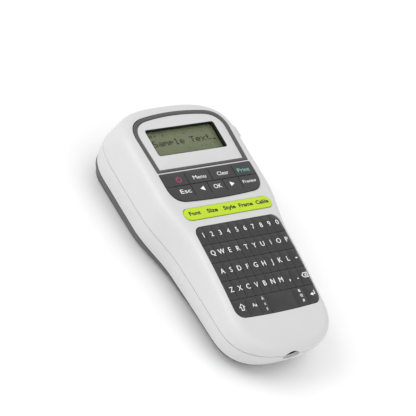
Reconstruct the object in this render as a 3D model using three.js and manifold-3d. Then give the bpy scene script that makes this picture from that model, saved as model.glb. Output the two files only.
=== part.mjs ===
// Handheld label maker lying on its back, in millimetres.
// +X is to the right of someone facing the keys, +Y runs from the grip to the head, +Z points up
// out of the keys. The origin is under the middle of the object, on the surface it lies on.
import * as THREE from 'three';
import { mergeVertices } from 'three/addons/utils/BufferGeometryUtils.js';
import Module from 'manifold-3d';

const wasm = await Module();
wasm.setup();

// ---------------------------------------------------------------- driving dimensions

// Body outline, seen square on to the keys. y = 0 is the middle of the keypad.
const GRIP_END = -67;
const HEAD_END = 139;
const GRIP_HALF_WIDTH = 44.7;
const HEAD_HALF_WIDTH = 52.3;
const WAIST = [18.6, 63.5];
const GRIP_ROUND = { length: 33, power: 2.55 };
const HEAD_ROUND = { length: 33, power: 2.86 };

// Front face: the keypad plane rises towards the head and the head's face lies flatter.
const FACE_TILT = Math.atan(0.19);
const KEYPAD_HEIGHT = 47.5;
const HEAD_BEND = THREE.MathUtils.degToRad(6.76);
const BEND_START = 10.7;
const BEND_SOFTNESS = 12;
const SHOULDER = 8.3;

// Shells.
const WALL = 2.2;
const COVER_WALL = 2;
const GAP = 0.4;
const PARTING_HEIGHTS = [[-75, 29.8], [-50, 24.8], [-25, 24.7], [0, 25.4], [25, 25.8], [60, 27.8],
  [100, 29.4], [135, 32.7]];
const COVER_SEAM_HEIGHTS = [[-75, 10.6], [-15, 11], [35, 10.6], [65, 12.5], [85, 13.1], [108, 14.2], [135, 18]];
const COVER_EDGE_HEIGHTS = [[-75, 7.4], [-15, 7.6], [10, 5.3], [35, 3.4], [60, 3.7], [85, 4.4], [105, 4.9],
  [135, 9]];
const COVER_FLAT_INSETS = [[-30, 18], [35, 12], [100, 12], [135, 14]];
const COVER_SEAM_INSETS = [[60, 3], [95, 3.2], [108, 3], [120, 3.8], [135, 4.2]];
const COVER_EDGE_INSETS = [[-20, 7], [35, 7.5], [85, 8.2], [110, 9], [135, 7.6]];
const COVER_FLANK_SWELL = 0.7;
const GRIP_PLATE = { low: 16.8, high: 18.4 };
const HEAD_PLATE = { low: 22.8, high: 24.4 };
const HEAD_PLATE_START = 14;

// Keys and display, in the face's own plan: x across, y along from the keypad's middle.
const KEYPAD = { halfWidth: 38.8, bottom: -36.4, top: 35.4, bottomRadius: 8, topRadius: 6.5, bulge: 0.8 };
const KEY_COLUMNS = 10;
const KEY_PITCH = 7.68;
const ROW_EDGES = [35.4, 21.2, 6.7, -7.8, -22.3, -36.4];
const SHIFT_ROW_EDGES = [-38.8, -27.2, -16.4, -7.6, 17.2, 28.2, 38.8];
const ROW_NAMES = ['key_row_numbers', 'key_row_upper', 'key_row_home', 'key_row_lower'];
const SHIFT_ROW_NAMES = ['key_shift', 'key_case', 'key_accent', 'key_space', 'key_symbol', 'key_enter'];
const FUNCTION_PANEL = {
  halfWidth: 42, bottom: 56.6, top: 80.6, bottomRadius: 13.5, topRadius: 1, bulge: 0.9,
};
const FUNCTION_ROW_SPLIT = 69.5;
const FUNCTION_ROWS = [
  { low: FUNCTION_ROW_SPLIT, high: 90, edges: [-60, -20.9, 0.9, 23, 60],
    names: ['key_power', 'key_menu', 'key_clear', 'key_print'] },
  { low: 40, high: FUNCTION_ROW_SPLIT, edges: [-60, -21.1, -6, 8.3, 23.2, 60],
    names: ['key_escape', 'key_left', 'key_ok', 'key_right', 'key_preview'] },
];
const STYLE_BAR = { halfWidth: 40.2, bottom: 41.4, top: 50.8, radius: 4.7 };
const STYLE_NAMES = ['key_font', 'key_size', 'key_style', 'key_frame', 'key_cable'];
const STYLE_EDGES = [-60, -23.2, -7.3, 8.4, 23.8, 60];
const KEY_RISE = 0.9;
const KEY_DEPTH = 2.6;
const KEY_GAP = 0.5;
const WEB_THICKNESS = 0.9;
const MAT_DEPTH = 4.6;
const MAT_THICKNESS = 0.8;
const BOARD_THICKNESS = 1.6;
const DISPLAY = { bottom: 82.3, top: 130.2, bottomHalf: 42.1, topHalf: 43.2, cornerRadius: 16, crown: 2 };
const DISPLAY_RIM = { side: 3.1, top: 2.5, bottom: 1.7 };
const WINDOW = { centreX: -0.4, halfWidth: 31.6, bottom: 96, top: 117.8, radius: 1.6 };
const WINDOW_DEPTH = 3.2;

// Tape mechanism, in the lying frame: x, y in the plane of the back, z up from it.
const TAPE_PATH_X = 19.2;
const CASSETTE = { left: -40.1, right: 14, bottom: 75, top: 121, low: 5.4, high: 22, wall: 1.2 };
const TAPE_ROLL = { x: -19.6, y: 98, radius: 18.5, bore: 8.4, low: 7.6, high: 19.6 };
const PLATEN = { x: 23.7, y: 115.5, radius: 4, low: 7.2, high: 20.2 };
const FEED_ROLLER = { x: 23.7, y: 123.4, radius: 2.9 };
const ROLLER_ARM = { low: 5.6, high: 21.9, sheet: 1.1 };
const ARM_PIVOT = { x: 29.8, y: 104.5 };
const PRINT_HEAD_FACE = 18.6;
const MOTOR = { x: 32.5, y: 84, radius: 7.8, low: 5, high: 22.4 };
const RIBBON_DIRECTION = THREE.MathUtils.degToRad(170);
const RIBBON_SPAN = { low: 7, top: 22.5 };
const GEAR_MODULE = 0.85;
const GEAR_LAYER = { low: 25.4, high: 28.4 };
const TEETH = { pinion: 12, idler: 28, platen: 16, ribbon: 16 };
const EXIT_SLOT = { width: 5, low: 7, high: 21 };

// Cutter: a lever on an upright post inside the right wall, with the blade at its far end.
const CUTTER = { padLow: 33, padHigh: 51.2, armHigh: 40, hubRadius: 4.4, bore: 2.3 };
const CUTTER_PIVOT = { x: 45, y: 91, top: 42 };
const PAD = { low: 104.4, high: 117.6, inner: 46.6, sunk: 0.6, edgeRadius: 3 };
const BLADE = { rest: 22.6, y: 133.4, length: 8.6 };
const PAD_CLEARANCE = 0.8;
const LEVER_PROUD = 4;

// Battery bay: six AAA cells side by side.
const CELL = { radius: 5.25, length: 44.5, pitch: 10.9, z: 10.9, start: -37, count: 6 };
const BAY = {
  half: CELL.count * CELL.pitch / 2 + 0.9,
  low: CELL.start - 2.9,
  high: CELL.start + CELL.length + 2.9,
};

// Power inlet in the grip's end wall.
const INLET = { x: -2, z: 26, width: 11, height: 7.2, depth: 9, setback: 5, bore: 2.6, pin: 0.8 };
const SCOOP = { side: 1.4, front: 0.8, above: 1, lift: 0.6 };

// Four screws pull the housings together: two past the battery bay, two where the head begins.
const SCREWS = [
  { x: -20, y: -50.4, plate: GRIP_PLATE },
  { x: 20, y: -50.4, plate: GRIP_PLATE },
  { x: -45, y: 68, plate: HEAD_PLATE },
  { x: 45, y: 68, plate: HEAD_PLATE },
];
const SCREW_HEAD = { radius: 2.6, height: 1.8 };
const SCREW_RADIUS = 1.3;
const SCREW_LENGTH = 12;
const BOSS_RADIUS = 3;
const BOSS_WEB = { low: 31, reach: 6.5, half: 1.2 };
const BOSS_HEIGHT = 17;
const SCREW_HOLE_RADIUS = 1.65;
const BAY_WALL = { low: 11.5, thickness: 1.2 };
const CONTACT = { inset: 0.8, margin: 3.4, half: 0.3, dimple: 1.4, radius: 2.6 };

// The lever stands proud of the right side only, so the body sits left of the box's middle.
const CENTRE_SHIFT = { x: -2, y: -40.08 };

// ---------------------------------------------------------------- materials

const finish = (color, roughness, metalness = 0) =>
  new THREE.MeshStandardMaterial({ color, roughness, metalness });
const WHITE = '#dedede';
const CHARCOAL = '#4a4a4b';
const BEZEL_GREY = '#5f6061';
const LIME = '#bed62f';
const BLACK = '#202022';
const ACETAL = '#e8e4d6';
const STEEL_GREY = '#9a9c9e';
const NICKEL = '#b9b6ab';

// ---------------------------------------------------------------- solids

// A closed manifold solid from a three.js geometry.
function solid(geometry) {
  const bare = geometry.clone();
  for (const name of Object.keys(bare.attributes)) {
    if (name !== 'position') bare.deleteAttribute(name);
  }
  const merged = mergeVertices(bare, 1e-5);
  return new wasm.Manifold(new wasm.Mesh({
    numProp: 3,
    vertProperties: new Float32Array(merged.attributes.position.array),
    triVerts: new Uint32Array(merged.index.array),
  }));
}

// A three.js geometry from a manifold solid.
function geometryOf(body) {
  const { vertProperties, triVerts } = body.getMesh();
  const geometry = new THREE.BufferGeometry();
  geometry.setAttribute('position', new THREE.BufferAttribute(vertProperties, 3));
  geometry.setIndex(new THREE.BufferAttribute(triVerts, 1));
  geometry.computeVertexNormals();
  return geometry;
}

const join = (first, ...others) => others.reduce((sum, other) => sum.add(other), first);
const cut = (first, ...others) => others.reduce((rest, other) => rest.subtract(other), first);

function box(xs, ys, zs) {
  const geometry = new THREE.BoxGeometry(xs[1] - xs[0], ys[1] - ys[0], zs[1] - zs[0]);
  geometry.translate((xs[0] + xs[1]) / 2, (ys[0] + ys[1]) / 2, (zs[0] + zs[1]) / 2);
  return solid(geometry);
}

// An upright round bar from z = low to z = high.
function bar(x, y, radius, low, high, sides = 20) {
  const geometry = new THREE.CylinderGeometry(radius, radius, high - low, sides);
  geometry.rotateX(Math.PI / 2);
  geometry.translate(x, y, (low + high) / 2);
  return solid(geometry);
}

// An outline in x and y, extruded from z = low to z = high.
function prism(shape, low, high, curveSegments = 4) {
  const depth = high - low;
  const geometry = new THREE.ExtrudeGeometry(shape, { depth, bevelEnabled: false, curveSegments });
  geometry.translate(0, 0, low);
  return geometry;
}

const polygon = (points) => new THREE.Shape(points.map(([x, y]) => new THREE.Vector2(x, y)));

// ---------------------------------------------------------------- the body's form

// How far the front face falls below the keypad plane at y.
const faceDrop = (y) =>
  -Math.tan(HEAD_BEND) * BEND_SOFTNESS * Math.log1p(Math.exp((y - BEND_START) / BEND_SOFTNESS));

// From face coordinates (z square to the keypad) to the lying frame.
function lie(x, y, z) {
  const height = y * Math.sin(FACE_TILT) + z * Math.cos(FACE_TILT) + KEYPAD_HEIGHT;
  const along = y * Math.cos(FACE_TILT) - z * Math.sin(FACE_TILT);
  return new THREE.Vector3(x, along, Math.abs(height) < 1e-6 ? 0 : height);
}

// The face coordinate z that lies at a given height above the back.
const atHeight = (height, y) => (height - KEYPAD_HEIGHT - y * Math.sin(FACE_TILT)) / Math.cos(FACE_TILT);

// A smooth function of y through [y, value] knots, level beyond the first and last.
function through(knots) {
  const slope = (i) => {
    const a = knots[Math.max(i - 1, 0)];
    const b = knots[Math.min(i + 1, knots.length - 1)];
    return (b[1] - a[1]) / (b[0] - a[0]);
  };
  return (y) => {
    if (y <= knots[0][0]) return knots[0][1];
    const end = knots.findIndex(([knot]) => knot > y);
    if (end < 0) return knots[knots.length - 1][1];
    const [[y0, v0], [y1, v1]] = [knots[end - 1], knots[end]];
    const span = y1 - y0;
    const t = (y - y0) / span;
    const s = 1 - t;
    return s * s * (1 + 2 * t) * v0 + t * t * (1 + 2 * s) * v1
      + span * t * s * (s * slope(end - 1) - t * slope(end));
  };
}

function halfWidth(y) {
  const waist = THREE.MathUtils.smoothstep(y, WAIST[0], WAIST[1]);
  const side = THREE.MathUtils.lerp(GRIP_HALF_WIDTH, HEAD_HALF_WIDTH, waist);
  const round = ({ length, power }, fromEnd) =>
    (1 - Math.max(0, 1 - fromEnd / length) ** power) ** (1 / power);
  return side * round(GRIP_ROUND, y - GRIP_END) * round(HEAD_ROUND, HEAD_END - y);
}

const HALF_STEPS = 26;

// The body's outline moved inwards by inset: right side from grip to head, then back down the left.
function outline(inset) {
  const middle = (GRIP_END + HEAD_END) / 2;
  const reach = (HEAD_END - GRIP_END) / 2;
  const at = (angle) => {
    const y = middle - reach * Math.cos(angle);
    return [halfWidth(THREE.MathUtils.clamp(y, GRIP_END, HEAD_END)), y];
  };
  const right = [];
  for (let i = 0; i <= HALF_STEPS; i += 1) {
    const angle = Math.PI * i / HALF_STEPS;
    const [x, y] = at(angle);
    if (i === 0) right.push([0, y + inset(y)]);
    else if (i === HALF_STEPS) right.push([0, y - inset(y)]);
    else {
      const [x0, y0] = at(angle - 1e-3);
      const [x1, y1] = at(angle + 1e-3);
      const length = Math.hypot(x1 - x0, y1 - y0);
      right.push([x - inset(y) * (y1 - y0) / length, y + inset(y) * (x1 - x0) / length]);
    }
  }
  const left = right.slice(1, -1).reverse().map(([x, y]) => [-x, y]);
  return right.concat(left);
}

// A closed body through levels { inset, z }, from the lowest up. Both ends are closed by strips
// across the body, so they follow any surface that is straight from side to side.
function loft(levels) {
  const count = 2 * HALF_STEPS;
  const positions = [];
  const triangles = [];
  for (const { inset, z } of levels) {
    for (const [x, y] of outline(inset)) positions.push(...lie(x, y, z(y)).toArray());
  }
  for (let level = 0; level + 1 < levels.length; level += 1) {
    for (let i = 0; i < count; i += 1) {
      const [a, b] = [level * count + i, level * count + (i + 1) % count];
      triangles.push(a, b, b + count, a, b + count, a + count);
    }
  }
  const top = (levels.length - 1) * count;
  for (let i = 0; i < HALF_STEPS; i += 1) {
    const [a, b, c, d] = [i, i + 1, count - i - 1, (count - i) % count];
    if (b !== c) {
      triangles.push(top + a, top + b, top + c, a, c, b);
    }
    if (a !== d) {
      triangles.push(top + a, top + c, top + d, a, d, c);
    }
  }
  const geometry = new THREE.BufferGeometry();
  geometry.setAttribute('position', new THREE.Float32BufferAttribute(positions, 3));
  geometry.setIndex(triangles);
  return solid(geometry);
}

const partingHeight = through(PARTING_HEIGHTS);
const seamHeight = through(COVER_SEAM_HEIGHTS);
const edgeHeight = through(COVER_EDGE_HEIGHTS);
const flatInset = through(COVER_FLAT_INSETS);
const seamInset = through(COVER_SEAM_INSETS);
const edgeInset = through(COVER_EDGE_INSETS);
const parting = (offset = 0) => (y) => atHeight(partingHeight(y) + offset, y);
const seam = (offset = 0) => (y) => atHeight(seamHeight(y) + offset, y);

// The top half of the body, or the space inside it when wall is above zero.
function frontForm(wall) {
  const radius = SHOULDER - wall;
  const steps = wall > 0 ? 2 : 4;
  const levels = [{ inset: () => wall, z: parting(wall > 0 ? -2 : GAP / 2) }];
  for (let i = 0; i <= steps; i += 1) {
    const angle = (Math.PI / 2) * i / steps;
    const inset = wall + radius * (1 - Math.cos(angle));
    const drop = wall + radius * (1 - Math.sin(angle));
    levels.push({ inset: () => inset, z: (y) => faceDrop(y) - drop });
  }
  return loft(levels);
}

// The band between the back cover and the parting line.
function middleForm(wall) {
  const over = wall > 0 ? 1 : 0;
  return loft([
    { inset: (y) => seamInset(y) + wall + 0.15 * over, z: seam(GAP / 2 - 2 * over) },
    { inset: () => wall, z: parting(2 * over - GAP / 2) },
  ]);
}

// The back cover's outside, or its inside when wall is above zero.
function coverForm(wall) {
  const level = (share) => ({
    inset: (y) => THREE.MathUtils.lerp(edgeInset(y), flatInset(y), share) + wall,
    z: (y) => atHeight(edgeHeight(y) * (1 - share) ** 2 * (1 + share * 0.4) + wall, y),
  });
  return loft([
    { ...level(1), z: (y) => atHeight(wall, y) },
    level(0.5),
    level(0),
    { inset: (y) => (seamInset(y) + edgeInset(y)) / 2 - COVER_FLANK_SWELL + wall,
      z: (y) => atHeight((edgeHeight(y) + seamHeight(y)) / 2 + wall / 2, y) },
    { inset: (y) => seamInset(y) + wall, z: seam(wall > 0 ? 1.5 : -GAP / 2) },
  ]);
}

// A sheet or block that follows the front face: an outline in face plan, from low to high above it.
function onFace(shape, low, high, curveSegments = 4, surface = faceDrop) {
  const geometry = prism(shape, low, high, curveSegments);
  const position = geometry.attributes.position;
  for (let i = 0; i < position.count; i += 1) {
    const [x, y, z] = [position.getX(i), position.getY(i), position.getZ(i)];
    position.setXYZ(i, ...lie(x, y, z + surface(y)).toArray());
  }
  return solid(geometry);
}

// A key field's outline: straight sides and top, and a bottom edge that bows out.
function field({ halfWidth: half, bottom, top, bottomRadius: low, topRadius: high, bulge }, grow = 0) {
  const [x, y0, y1] = [half + grow, bottom - grow, top + grow];
  const shape = new THREE.Shape();
  shape.moveTo(-x + low, y0);
  shape.quadraticCurveTo(0, y0 - 2 * bulge, x - low, y0);
  shape.quadraticCurveTo(x, y0, x, y0 + low);
  shape.lineTo(x, y1 - high);
  shape.absarc(x - high, y1 - high, high, 0, Math.PI / 2);
  shape.lineTo(-x + high, y1);
  shape.absarc(-x + high, y1 - high, high, Math.PI / 2, Math.PI);
  shape.lineTo(-x, y0 + low);
  shape.quadraticCurveTo(-x, y0, -x + low, y0);
  return shape;
}

function roundedBox([x0, x1], [y0, y1], radius) {
  const shape = new THREE.Shape();
  shape.moveTo(x0 + radius, y0);
  shape.absarc(x1 - radius, y0 + radius, radius, -Math.PI / 2, 0);
  shape.absarc(x1 - radius, y1 - radius, radius, 0, Math.PI / 2);
  shape.absarc(x0 + radius, y1 - radius, radius, Math.PI / 2, Math.PI);
  shape.absarc(x0 + radius, y0 + radius, radius, Math.PI, 1.5 * Math.PI);
  return shape;
}

// A plain rectangle with points along its sides every step, so that it can bend with the face.
function steppedBox([x0, x1], [y0, y1], steps) {
  const ys = Array.from({ length: steps + 1 }, (_, i) => THREE.MathUtils.lerp(y0, y1, i / steps));
  return polygon([...ys.map((y) => [x1, y]), ...ys.reverse().map((y) => [x0, y])]);
}

// The display's outline: sides that widen a little upwards, round top corners and a crowned top.
function displayOutline(side = 0, top = 0, bottom = 0) {
  const [low, high] = [DISPLAY.bottom + bottom, DISPLAY.top - top];
  const [x0, x1] = [DISPLAY.bottomHalf - side, DISPLAY.topHalf - side];
  const corner = DISPLAY.cornerRadius - Math.max(side, 0) * 0.8;
  const spring = high - DISPLAY.crown;
  const shape = new THREE.Shape();
  shape.moveTo(-x0, low);
  shape.lineTo(x0, low);
  shape.lineTo(x1, spring - corner);
  shape.quadraticCurveTo(x1 - 0.5, spring - 2, x1 - corner, spring);
  shape.quadraticCurveTo(0, high + DISPLAY.crown, -x1 + corner, spring);
  shape.quadraticCurveTo(-x1 + 0.5, spring - 2, -x1, spring - corner);
  return shape;
}

const styleBarOutline = (grow = 0) => roundedBox(
  [-STYLE_BAR.halfWidth - grow, STYLE_BAR.halfWidth + grow],
  [STYLE_BAR.bottom - grow, STYLE_BAR.top + grow],
  STYLE_BAR.radius + grow,
);

const windowOutline = (grow = 0) => roundedBox(
  [WINDOW.centreX - WINDOW.halfWidth - grow, WINDOW.centreX + WINDOW.halfWidth + grow],
  [WINDOW.bottom - grow, WINDOW.top + grow],
  WINDOW.radius,
);

// ---------------------------------------------------------------- gears

// A spur gear's outline with its first tooth at angle turn.
function gearOutline(teeth, turn) {
  const pitchRadius = GEAR_MODULE * teeth / 2;
  const pitch = 2 * Math.PI / teeth;
  const tip = pitchRadius + 0.75 * GEAR_MODULE;
  const root = pitchRadius - 1.05 * GEAR_MODULE;
  const points = [];
  for (let i = 0; i < teeth; i += 1) {
    for (const [radius, share] of [[root, -0.29], [tip, -0.1], [tip, 0.1], [root, 0.29]]) {
      const angle = turn + (i + share) * pitch;
      points.push([radius * Math.cos(angle), radius * Math.sin(angle)]);
    }
  }
  return polygon(points);
}

function gear({ x, y, teeth, turn, bore }) {
  const geometry = prism(gearOutline(teeth, turn), GEAR_LAYER.low, GEAR_LAYER.high);
  geometry.translate(x, y, 0);
  return solid(geometry).subtract(bar(x, y, bore, GEAR_LAYER.low - 1, GEAR_LAYER.high + 1, 14));
}

const pitchDistance = (teethA, teethB) => GEAR_MODULE * (teethA + teethB) / 2;

// The centre that lies ra from a and rb from b, on the left of the line from a to b.
function meetingPoint(a, ra, b, rb) {
  const [dx, dy] = [b.x - a.x, b.y - a.y];
  const distance = Math.hypot(dx, dy);
  const along = (ra ** 2 - rb ** 2 + distance ** 2) / (2 * distance);
  const aside = Math.sqrt(ra ** 2 - along ** 2);
  return {
    x: a.x + (dx * along - dy * aside) / distance,
    y: a.y + (dy * along + dx * aside) / distance,
  };
}

// The turn that puts a gap of the mate opposite a tooth of the idler.
function meshTurn(idler, mate, teeth) {
  const direction = Math.atan2(mate.y - idler.y, mate.x - idler.x);
  const idlerShare = direction * TEETH.idler / (2 * Math.PI);
  return direction + Math.PI - (0.5 - idlerShare) * 2 * Math.PI / teeth;
}

const IDLER = meetingPoint(MOTOR, pitchDistance(TEETH.pinion, TEETH.idler),
  PLATEN, pitchDistance(TEETH.idler, TEETH.platen));
const ribbonReach = pitchDistance(TEETH.idler, TEETH.ribbon);
const RIBBON_SHAFT = {
  ...RIBBON_SPAN,
  x: IDLER.x + ribbonReach * Math.cos(RIBBON_DIRECTION),
  y: IDLER.y + ribbonReach * Math.sin(RIBBON_DIRECTION),
};

// ---------------------------------------------------------------- the assembly

const labelMaker = new THREE.Group();
labelMaker.position.set(CENTRE_SHIFT.x, CENTRE_SHIFT.y, 0);

function add(name, body, material) {
  const mesh = new THREE.Mesh(geometryOf(body), material);
  mesh.name = name;
  labelMaker.add(mesh);
}

// ---------------------------------------------------------------- housings

const leverWindow = () => box(
  [PAD.inner - 3, HEAD_HALF_WIDTH + 8],
  [PAD.low - PAD_CLEARANCE, PAD.high + PAD_CLEARANCE],
  [CUTTER.padLow - PAD_CLEARANCE, CUTTER.padHigh + PAD_CLEARANCE],
);
const exitSlot = () => box(
  [TAPE_PATH_X - EXIT_SLOT.width / 2, TAPE_PATH_X + EXIT_SLOT.width / 2],
  [HEAD_END - 12, HEAD_END + 20],
  [EXIT_SLOT.low, EXIT_SLOT.high],
);

// The scoop in the grip's end wall that lets the plug in, and the pocket behind it for the inlet.
const GRIP_WALL_Y = lie(0, GRIP_END, atHeight(INLET.z, GRIP_END)).y;
function inletScoop() {
  const scoop = new THREE.SphereGeometry(1, 14, 8);
  scoop.scale(INLET.width / 2 + SCOOP.side, INLET.setback + SCOOP.front, INLET.height / 2 + SCOOP.above);
  scoop.translate(INLET.x, GRIP_WALL_Y, INLET.z + SCOOP.lift);
  return solid(scoop);
}
const inletBody = (grow) => box(
  [INLET.x - INLET.width / 2 - grow, INLET.x + INLET.width / 2 + grow],
  [GRIP_WALL_Y + INLET.setback - grow, GRIP_WALL_Y + INLET.setback + INLET.depth + grow],
  [INLET.z - INLET.height / 2 - grow, INLET.z + INLET.height / 2 + grow],
);

function frontHousing() {
  const shell = frontForm(0).subtract(frontForm(WALL));
  const inside = frontForm(WALL / 2);
  const bosses = SCREWS.map(({ x, y, plate }) => {
    const outer = x + Math.sign(x) * BOSS_WEB.reach;
    const [low, high] = [plate.high + GAP, plate.high + BOSS_HEIGHT];
    const web = box(
      [Math.min(x, outer), Math.max(x, outer)],
      [y - BOSS_WEB.half, y + BOSS_WEB.half],
      [BOSS_WEB.low, high],
    );
    return join(web, bar(x, y, BOSS_RADIUS, low, high, 12)).intersect(inside);
  });
  const openings = [field(KEYPAD, GAP), styleBarOutline(GAP), field(FUNCTION_PANEL, GAP),
    displayOutline(-GAP, -GAP, -GAP)];
  return cut(
    join(shell, ...bosses),
    ...SCREWS.map(({ x, y, plate }) => bar(x, y, SCREW_HOLE_RADIUS, plate.low, plate.high + 13, 10)),
    ...openings.map((opening) => onFace(opening, -14, 5, 3)),
    leverWindow(),
    inletScoop(),
    inletBody(GAP),
  );
}

// A rectangular ring of wall between two heights.
function wallRing([x0, x1], [y0, y1], zs, thickness) {
  return box([x0 - thickness, x1 + thickness], [y0 - thickness, y1 + thickness], zs)
    .subtract(box([x0, x1], [y0, y1], [zs[0] - 1, zs[1] + 1]));
}

function rearHousing() {
  const band = middleForm(0).subtract(middleForm(WALL));
  const plates = join(
    box([-60, 60], [GRIP_END - 10, HEAD_PLATE_START + WALL], [GRIP_PLATE.low, GRIP_PLATE.high]),
    box([-60, 60], [HEAD_PLATE_START, HEAD_END + 20], [HEAD_PLATE.low, HEAD_PLATE.high]),
    box([-60, 60], [HEAD_PLATE_START, HEAD_PLATE_START + WALL], [GRIP_PLATE.low, HEAD_PLATE.high]),
  ).intersect(middleForm(WALL / 2));
  const bay = wallRing(
    [-BAY.half, BAY.half],
    [BAY.low, BAY.high],
    [BAY_WALL.low, GRIP_PLATE.high],
    BAY_WALL.thickness,
  );
  const wellEdge = box([CASSETTE.left, CASSETTE.right],
    [CASSETTE.bottom - 1.8, CASSETTE.bottom - 0.6], [CASSETTE.low + 2, HEAD_PLATE.high]);
  const post = ({ x, y }, radius, top) => bar(x, y, radius, HEAD_PLATE.high - 0.3, top, 12);
  const posts = [
    post(IDLER, 1.5, GEAR_LAYER.high + 1),
    post(CUTTER_PIVOT, 2, CUTTER_PIVOT.top),
    bar(ARM_PIVOT.x, ARM_PIVOT.y, 1.5, ROLLER_ARM.low, HEAD_PLATE.low + 0.3, 12),
  ];
  const acrossPlate = [HEAD_PLATE.low - 1, HEAD_PLATE.high + 1];
  return cut(
    join(band, plates, bay, wellEdge, ...posts),
    ...SCREWS.map(({ x, y, plate }) => bar(x, y, SCREW_HOLE_RADIUS, plate.low - 1, plate.high + 1, 10)),
    exitSlot(),
    leverWindow(),
    inletScoop(),
    inletBody(GAP),
    bar(PLATEN.x + 1, PLATEN.y, 4.4, ...acrossPlate, 14),
    bar(FEED_ROLLER.x + 1, FEED_ROLLER.y, 3, ...acrossPlate, 12),
    bar(RIBBON_SHAFT.x, RIBBON_SHAFT.y, 2.4, ...acrossPlate, 12),
    bar(MOTOR.x, MOTOR.y, 2.4, ...acrossPlate, 12),
    box([BLADE.rest - 14, BLADE.rest + BLADE.length + 1], [BLADE.y - 7, BLADE.y + 2], acrossPlate),
  );
}

function backCover() {
  return cut(coverForm(0), coverForm(COVER_WALL), exitSlot());
}

add('front_housing', frontHousing(), finish(WHITE, 0.45));
add('rear_housing', rearHousing(), finish(WHITE, 0.45));
add('back_cover', backCover(), finish(BEZEL_GREY, 0.55));

const screwEnd = SCREW_HEAD.height + SCREW_LENGTH;
const screwProfile = [[0, 0], [SCREW_HEAD.radius, 0], [SCREW_HEAD.radius, SCREW_HEAD.height],
  [SCREW_RADIUS, SCREW_HEAD.height], [SCREW_RADIUS, screwEnd], [0, screwEnd]];

// A turned solid about the Y axis, from [radius, height] points that start and end on it.
const lathe = (points, sides) =>
  new THREE.LatheGeometry(points.map(([radius, height]) => new THREE.Vector2(radius, height)), sides);

SCREWS.forEach(({ x, y, plate }, i) => {
  const screw = lathe(screwProfile, 10);
  screw.rotateX(Math.PI / 2);
  screw.translate(x, y, plate.low - GAP - SCREW_HEAD.height);
  add(`housing_screw_${i + 1}`, solid(screw), finish(STEEL_GREY, 0.35, 1));
});

// ---------------------------------------------------------------- display

const displayInner = displayOutline(DISPLAY_RIM.side, DISPLAY_RIM.top, DISPLAY_RIM.bottom);
const plateOutline =
  displayOutline(DISPLAY_RIM.side + GAP, DISPLAY_RIM.top + GAP, DISPLAY_RIM.bottom + GAP);
add('display_frame', cut(onFace(displayOutline(), -2.4, 0.4, 6), onFace(displayInner, -4, 4, 6)),
  finish(BEZEL_GREY, 0.4));
add('display_plate', cut(onFace(plateOutline, -1.8, 0, 6), onFace(windowOutline(), -4, 4)),
  finish(WHITE, 0.4));
add('display_lens', onFace(windowOutline(1.2), -WINDOW_DEPTH, -2.2), finish('#dfe6da', 0.05));
const lcdOutline = roundedBox([-35, 34], [92.5, 121.5], 1);
add('lcd_module', onFace(lcdOutline, -WINDOW_DEPTH - 3.4, -WINDOW_DEPTH - 0.4), finish('#6b765c', 0.3));

// ---------------------------------------------------------------- keys

// The part of a key field that lies between two columns and two rows, less half a gap all round.
function keyCell(fieldOutline, [x0, x1], [y0, y1], low = -KEY_DEPTH) {
  const cell = roundedBox([x0 + KEY_GAP / 2, x1 - KEY_GAP / 2], [y0 + KEY_GAP / 2, y1 - KEY_GAP / 2], 0.6);
  return onFace(fieldOutline, low, KEY_RISE, 3).intersect(onFace(cell, low - 1, KEY_RISE + 1, 1));
}

const pairs = (edges) => edges.slice(1).map((edge, i) => [edges[i], edge]);

for (const { low, high, edges, names } of FUNCTION_ROWS) {
  pairs(edges).forEach((xs, i) => {
    add(names[i], keyCell(field(FUNCTION_PANEL), xs, [low, high]), finish(CHARCOAL, 0.55));
  });
}

pairs(STYLE_EDGES).forEach((xs, i) => {
  add(STYLE_NAMES[i], keyCell(styleBarOutline(), xs, [30, 60]), finish(LIME, 0.5));
});

// Each row of letter or number keys is one moulding: ten caps on a thin web.
const rowSpans = pairs([...ROW_EDGES].reverse()).reverse();
const columnEdge = (column) => (column - KEY_COLUMNS / 2) * KEY_PITCH;
ROW_NAMES.forEach((name, row) => {
  const [y0, y1] = [rowSpans[row][0] + KEY_GAP / 2, rowSpans[row][1] + (row === 0 ? 9 : -KEY_GAP / 2)];
  const block = onFace(field(KEYPAD), -KEY_DEPTH, KEY_RISE, 3)
    .intersect(onFace(steppedBox([-60, 60], [y0, y1], 1), -9, 9));
  const slots = Array.from({ length: KEY_COLUMNS - 1 }, (_, i) => {
    const x = columnEdge(i + 1);
    const slot = steppedBox([x - KEY_GAP / 2, x + KEY_GAP / 2], [y0 - 3, y1 + 3], 1);
    return onFace(slot, -KEY_DEPTH + WEB_THICKNESS, 9);
  });
  add(name, cut(block, ...slots), finish(CHARCOAL, 0.6));
});
pairs(SHIFT_ROW_EDGES).forEach((xs, i) => {
  add(SHIFT_ROW_NAMES[i], keyCell(field(KEYPAD), xs, [-60, rowSpans[4][1]]), finish(CHARCOAL, 0.6));
});

const matOutline = steppedBox([-40, 40], [-37.5, 81], 9);
add('key_mat', onFace(matOutline, -MAT_DEPTH - MAT_THICKNESS, -MAT_DEPTH, 1), finish('#2c2c2d', 0.8));

// ---------------------------------------------------------------- board, inlet and batteries

const boardSlope = (y) => -2.4 - 0.07 * y;
const boardOutline = steppedBox([-34, 34], [-37, 78], 8);
const boardTop = -MAT_DEPTH - 1.5;
add('main_board', onFace(boardOutline, boardTop - BOARD_THICKNESS, boardTop, 1, boardSlope),
  finish('#2f6b4a', 0.6));

function barAlongY(x, z, radius, low, high, sides = 16) {
  const geometry = new THREE.CylinderGeometry(radius, radius, high - low, sides);
  geometry.translate(x, (low + high) / 2, z);
  return solid(geometry);
}

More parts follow.
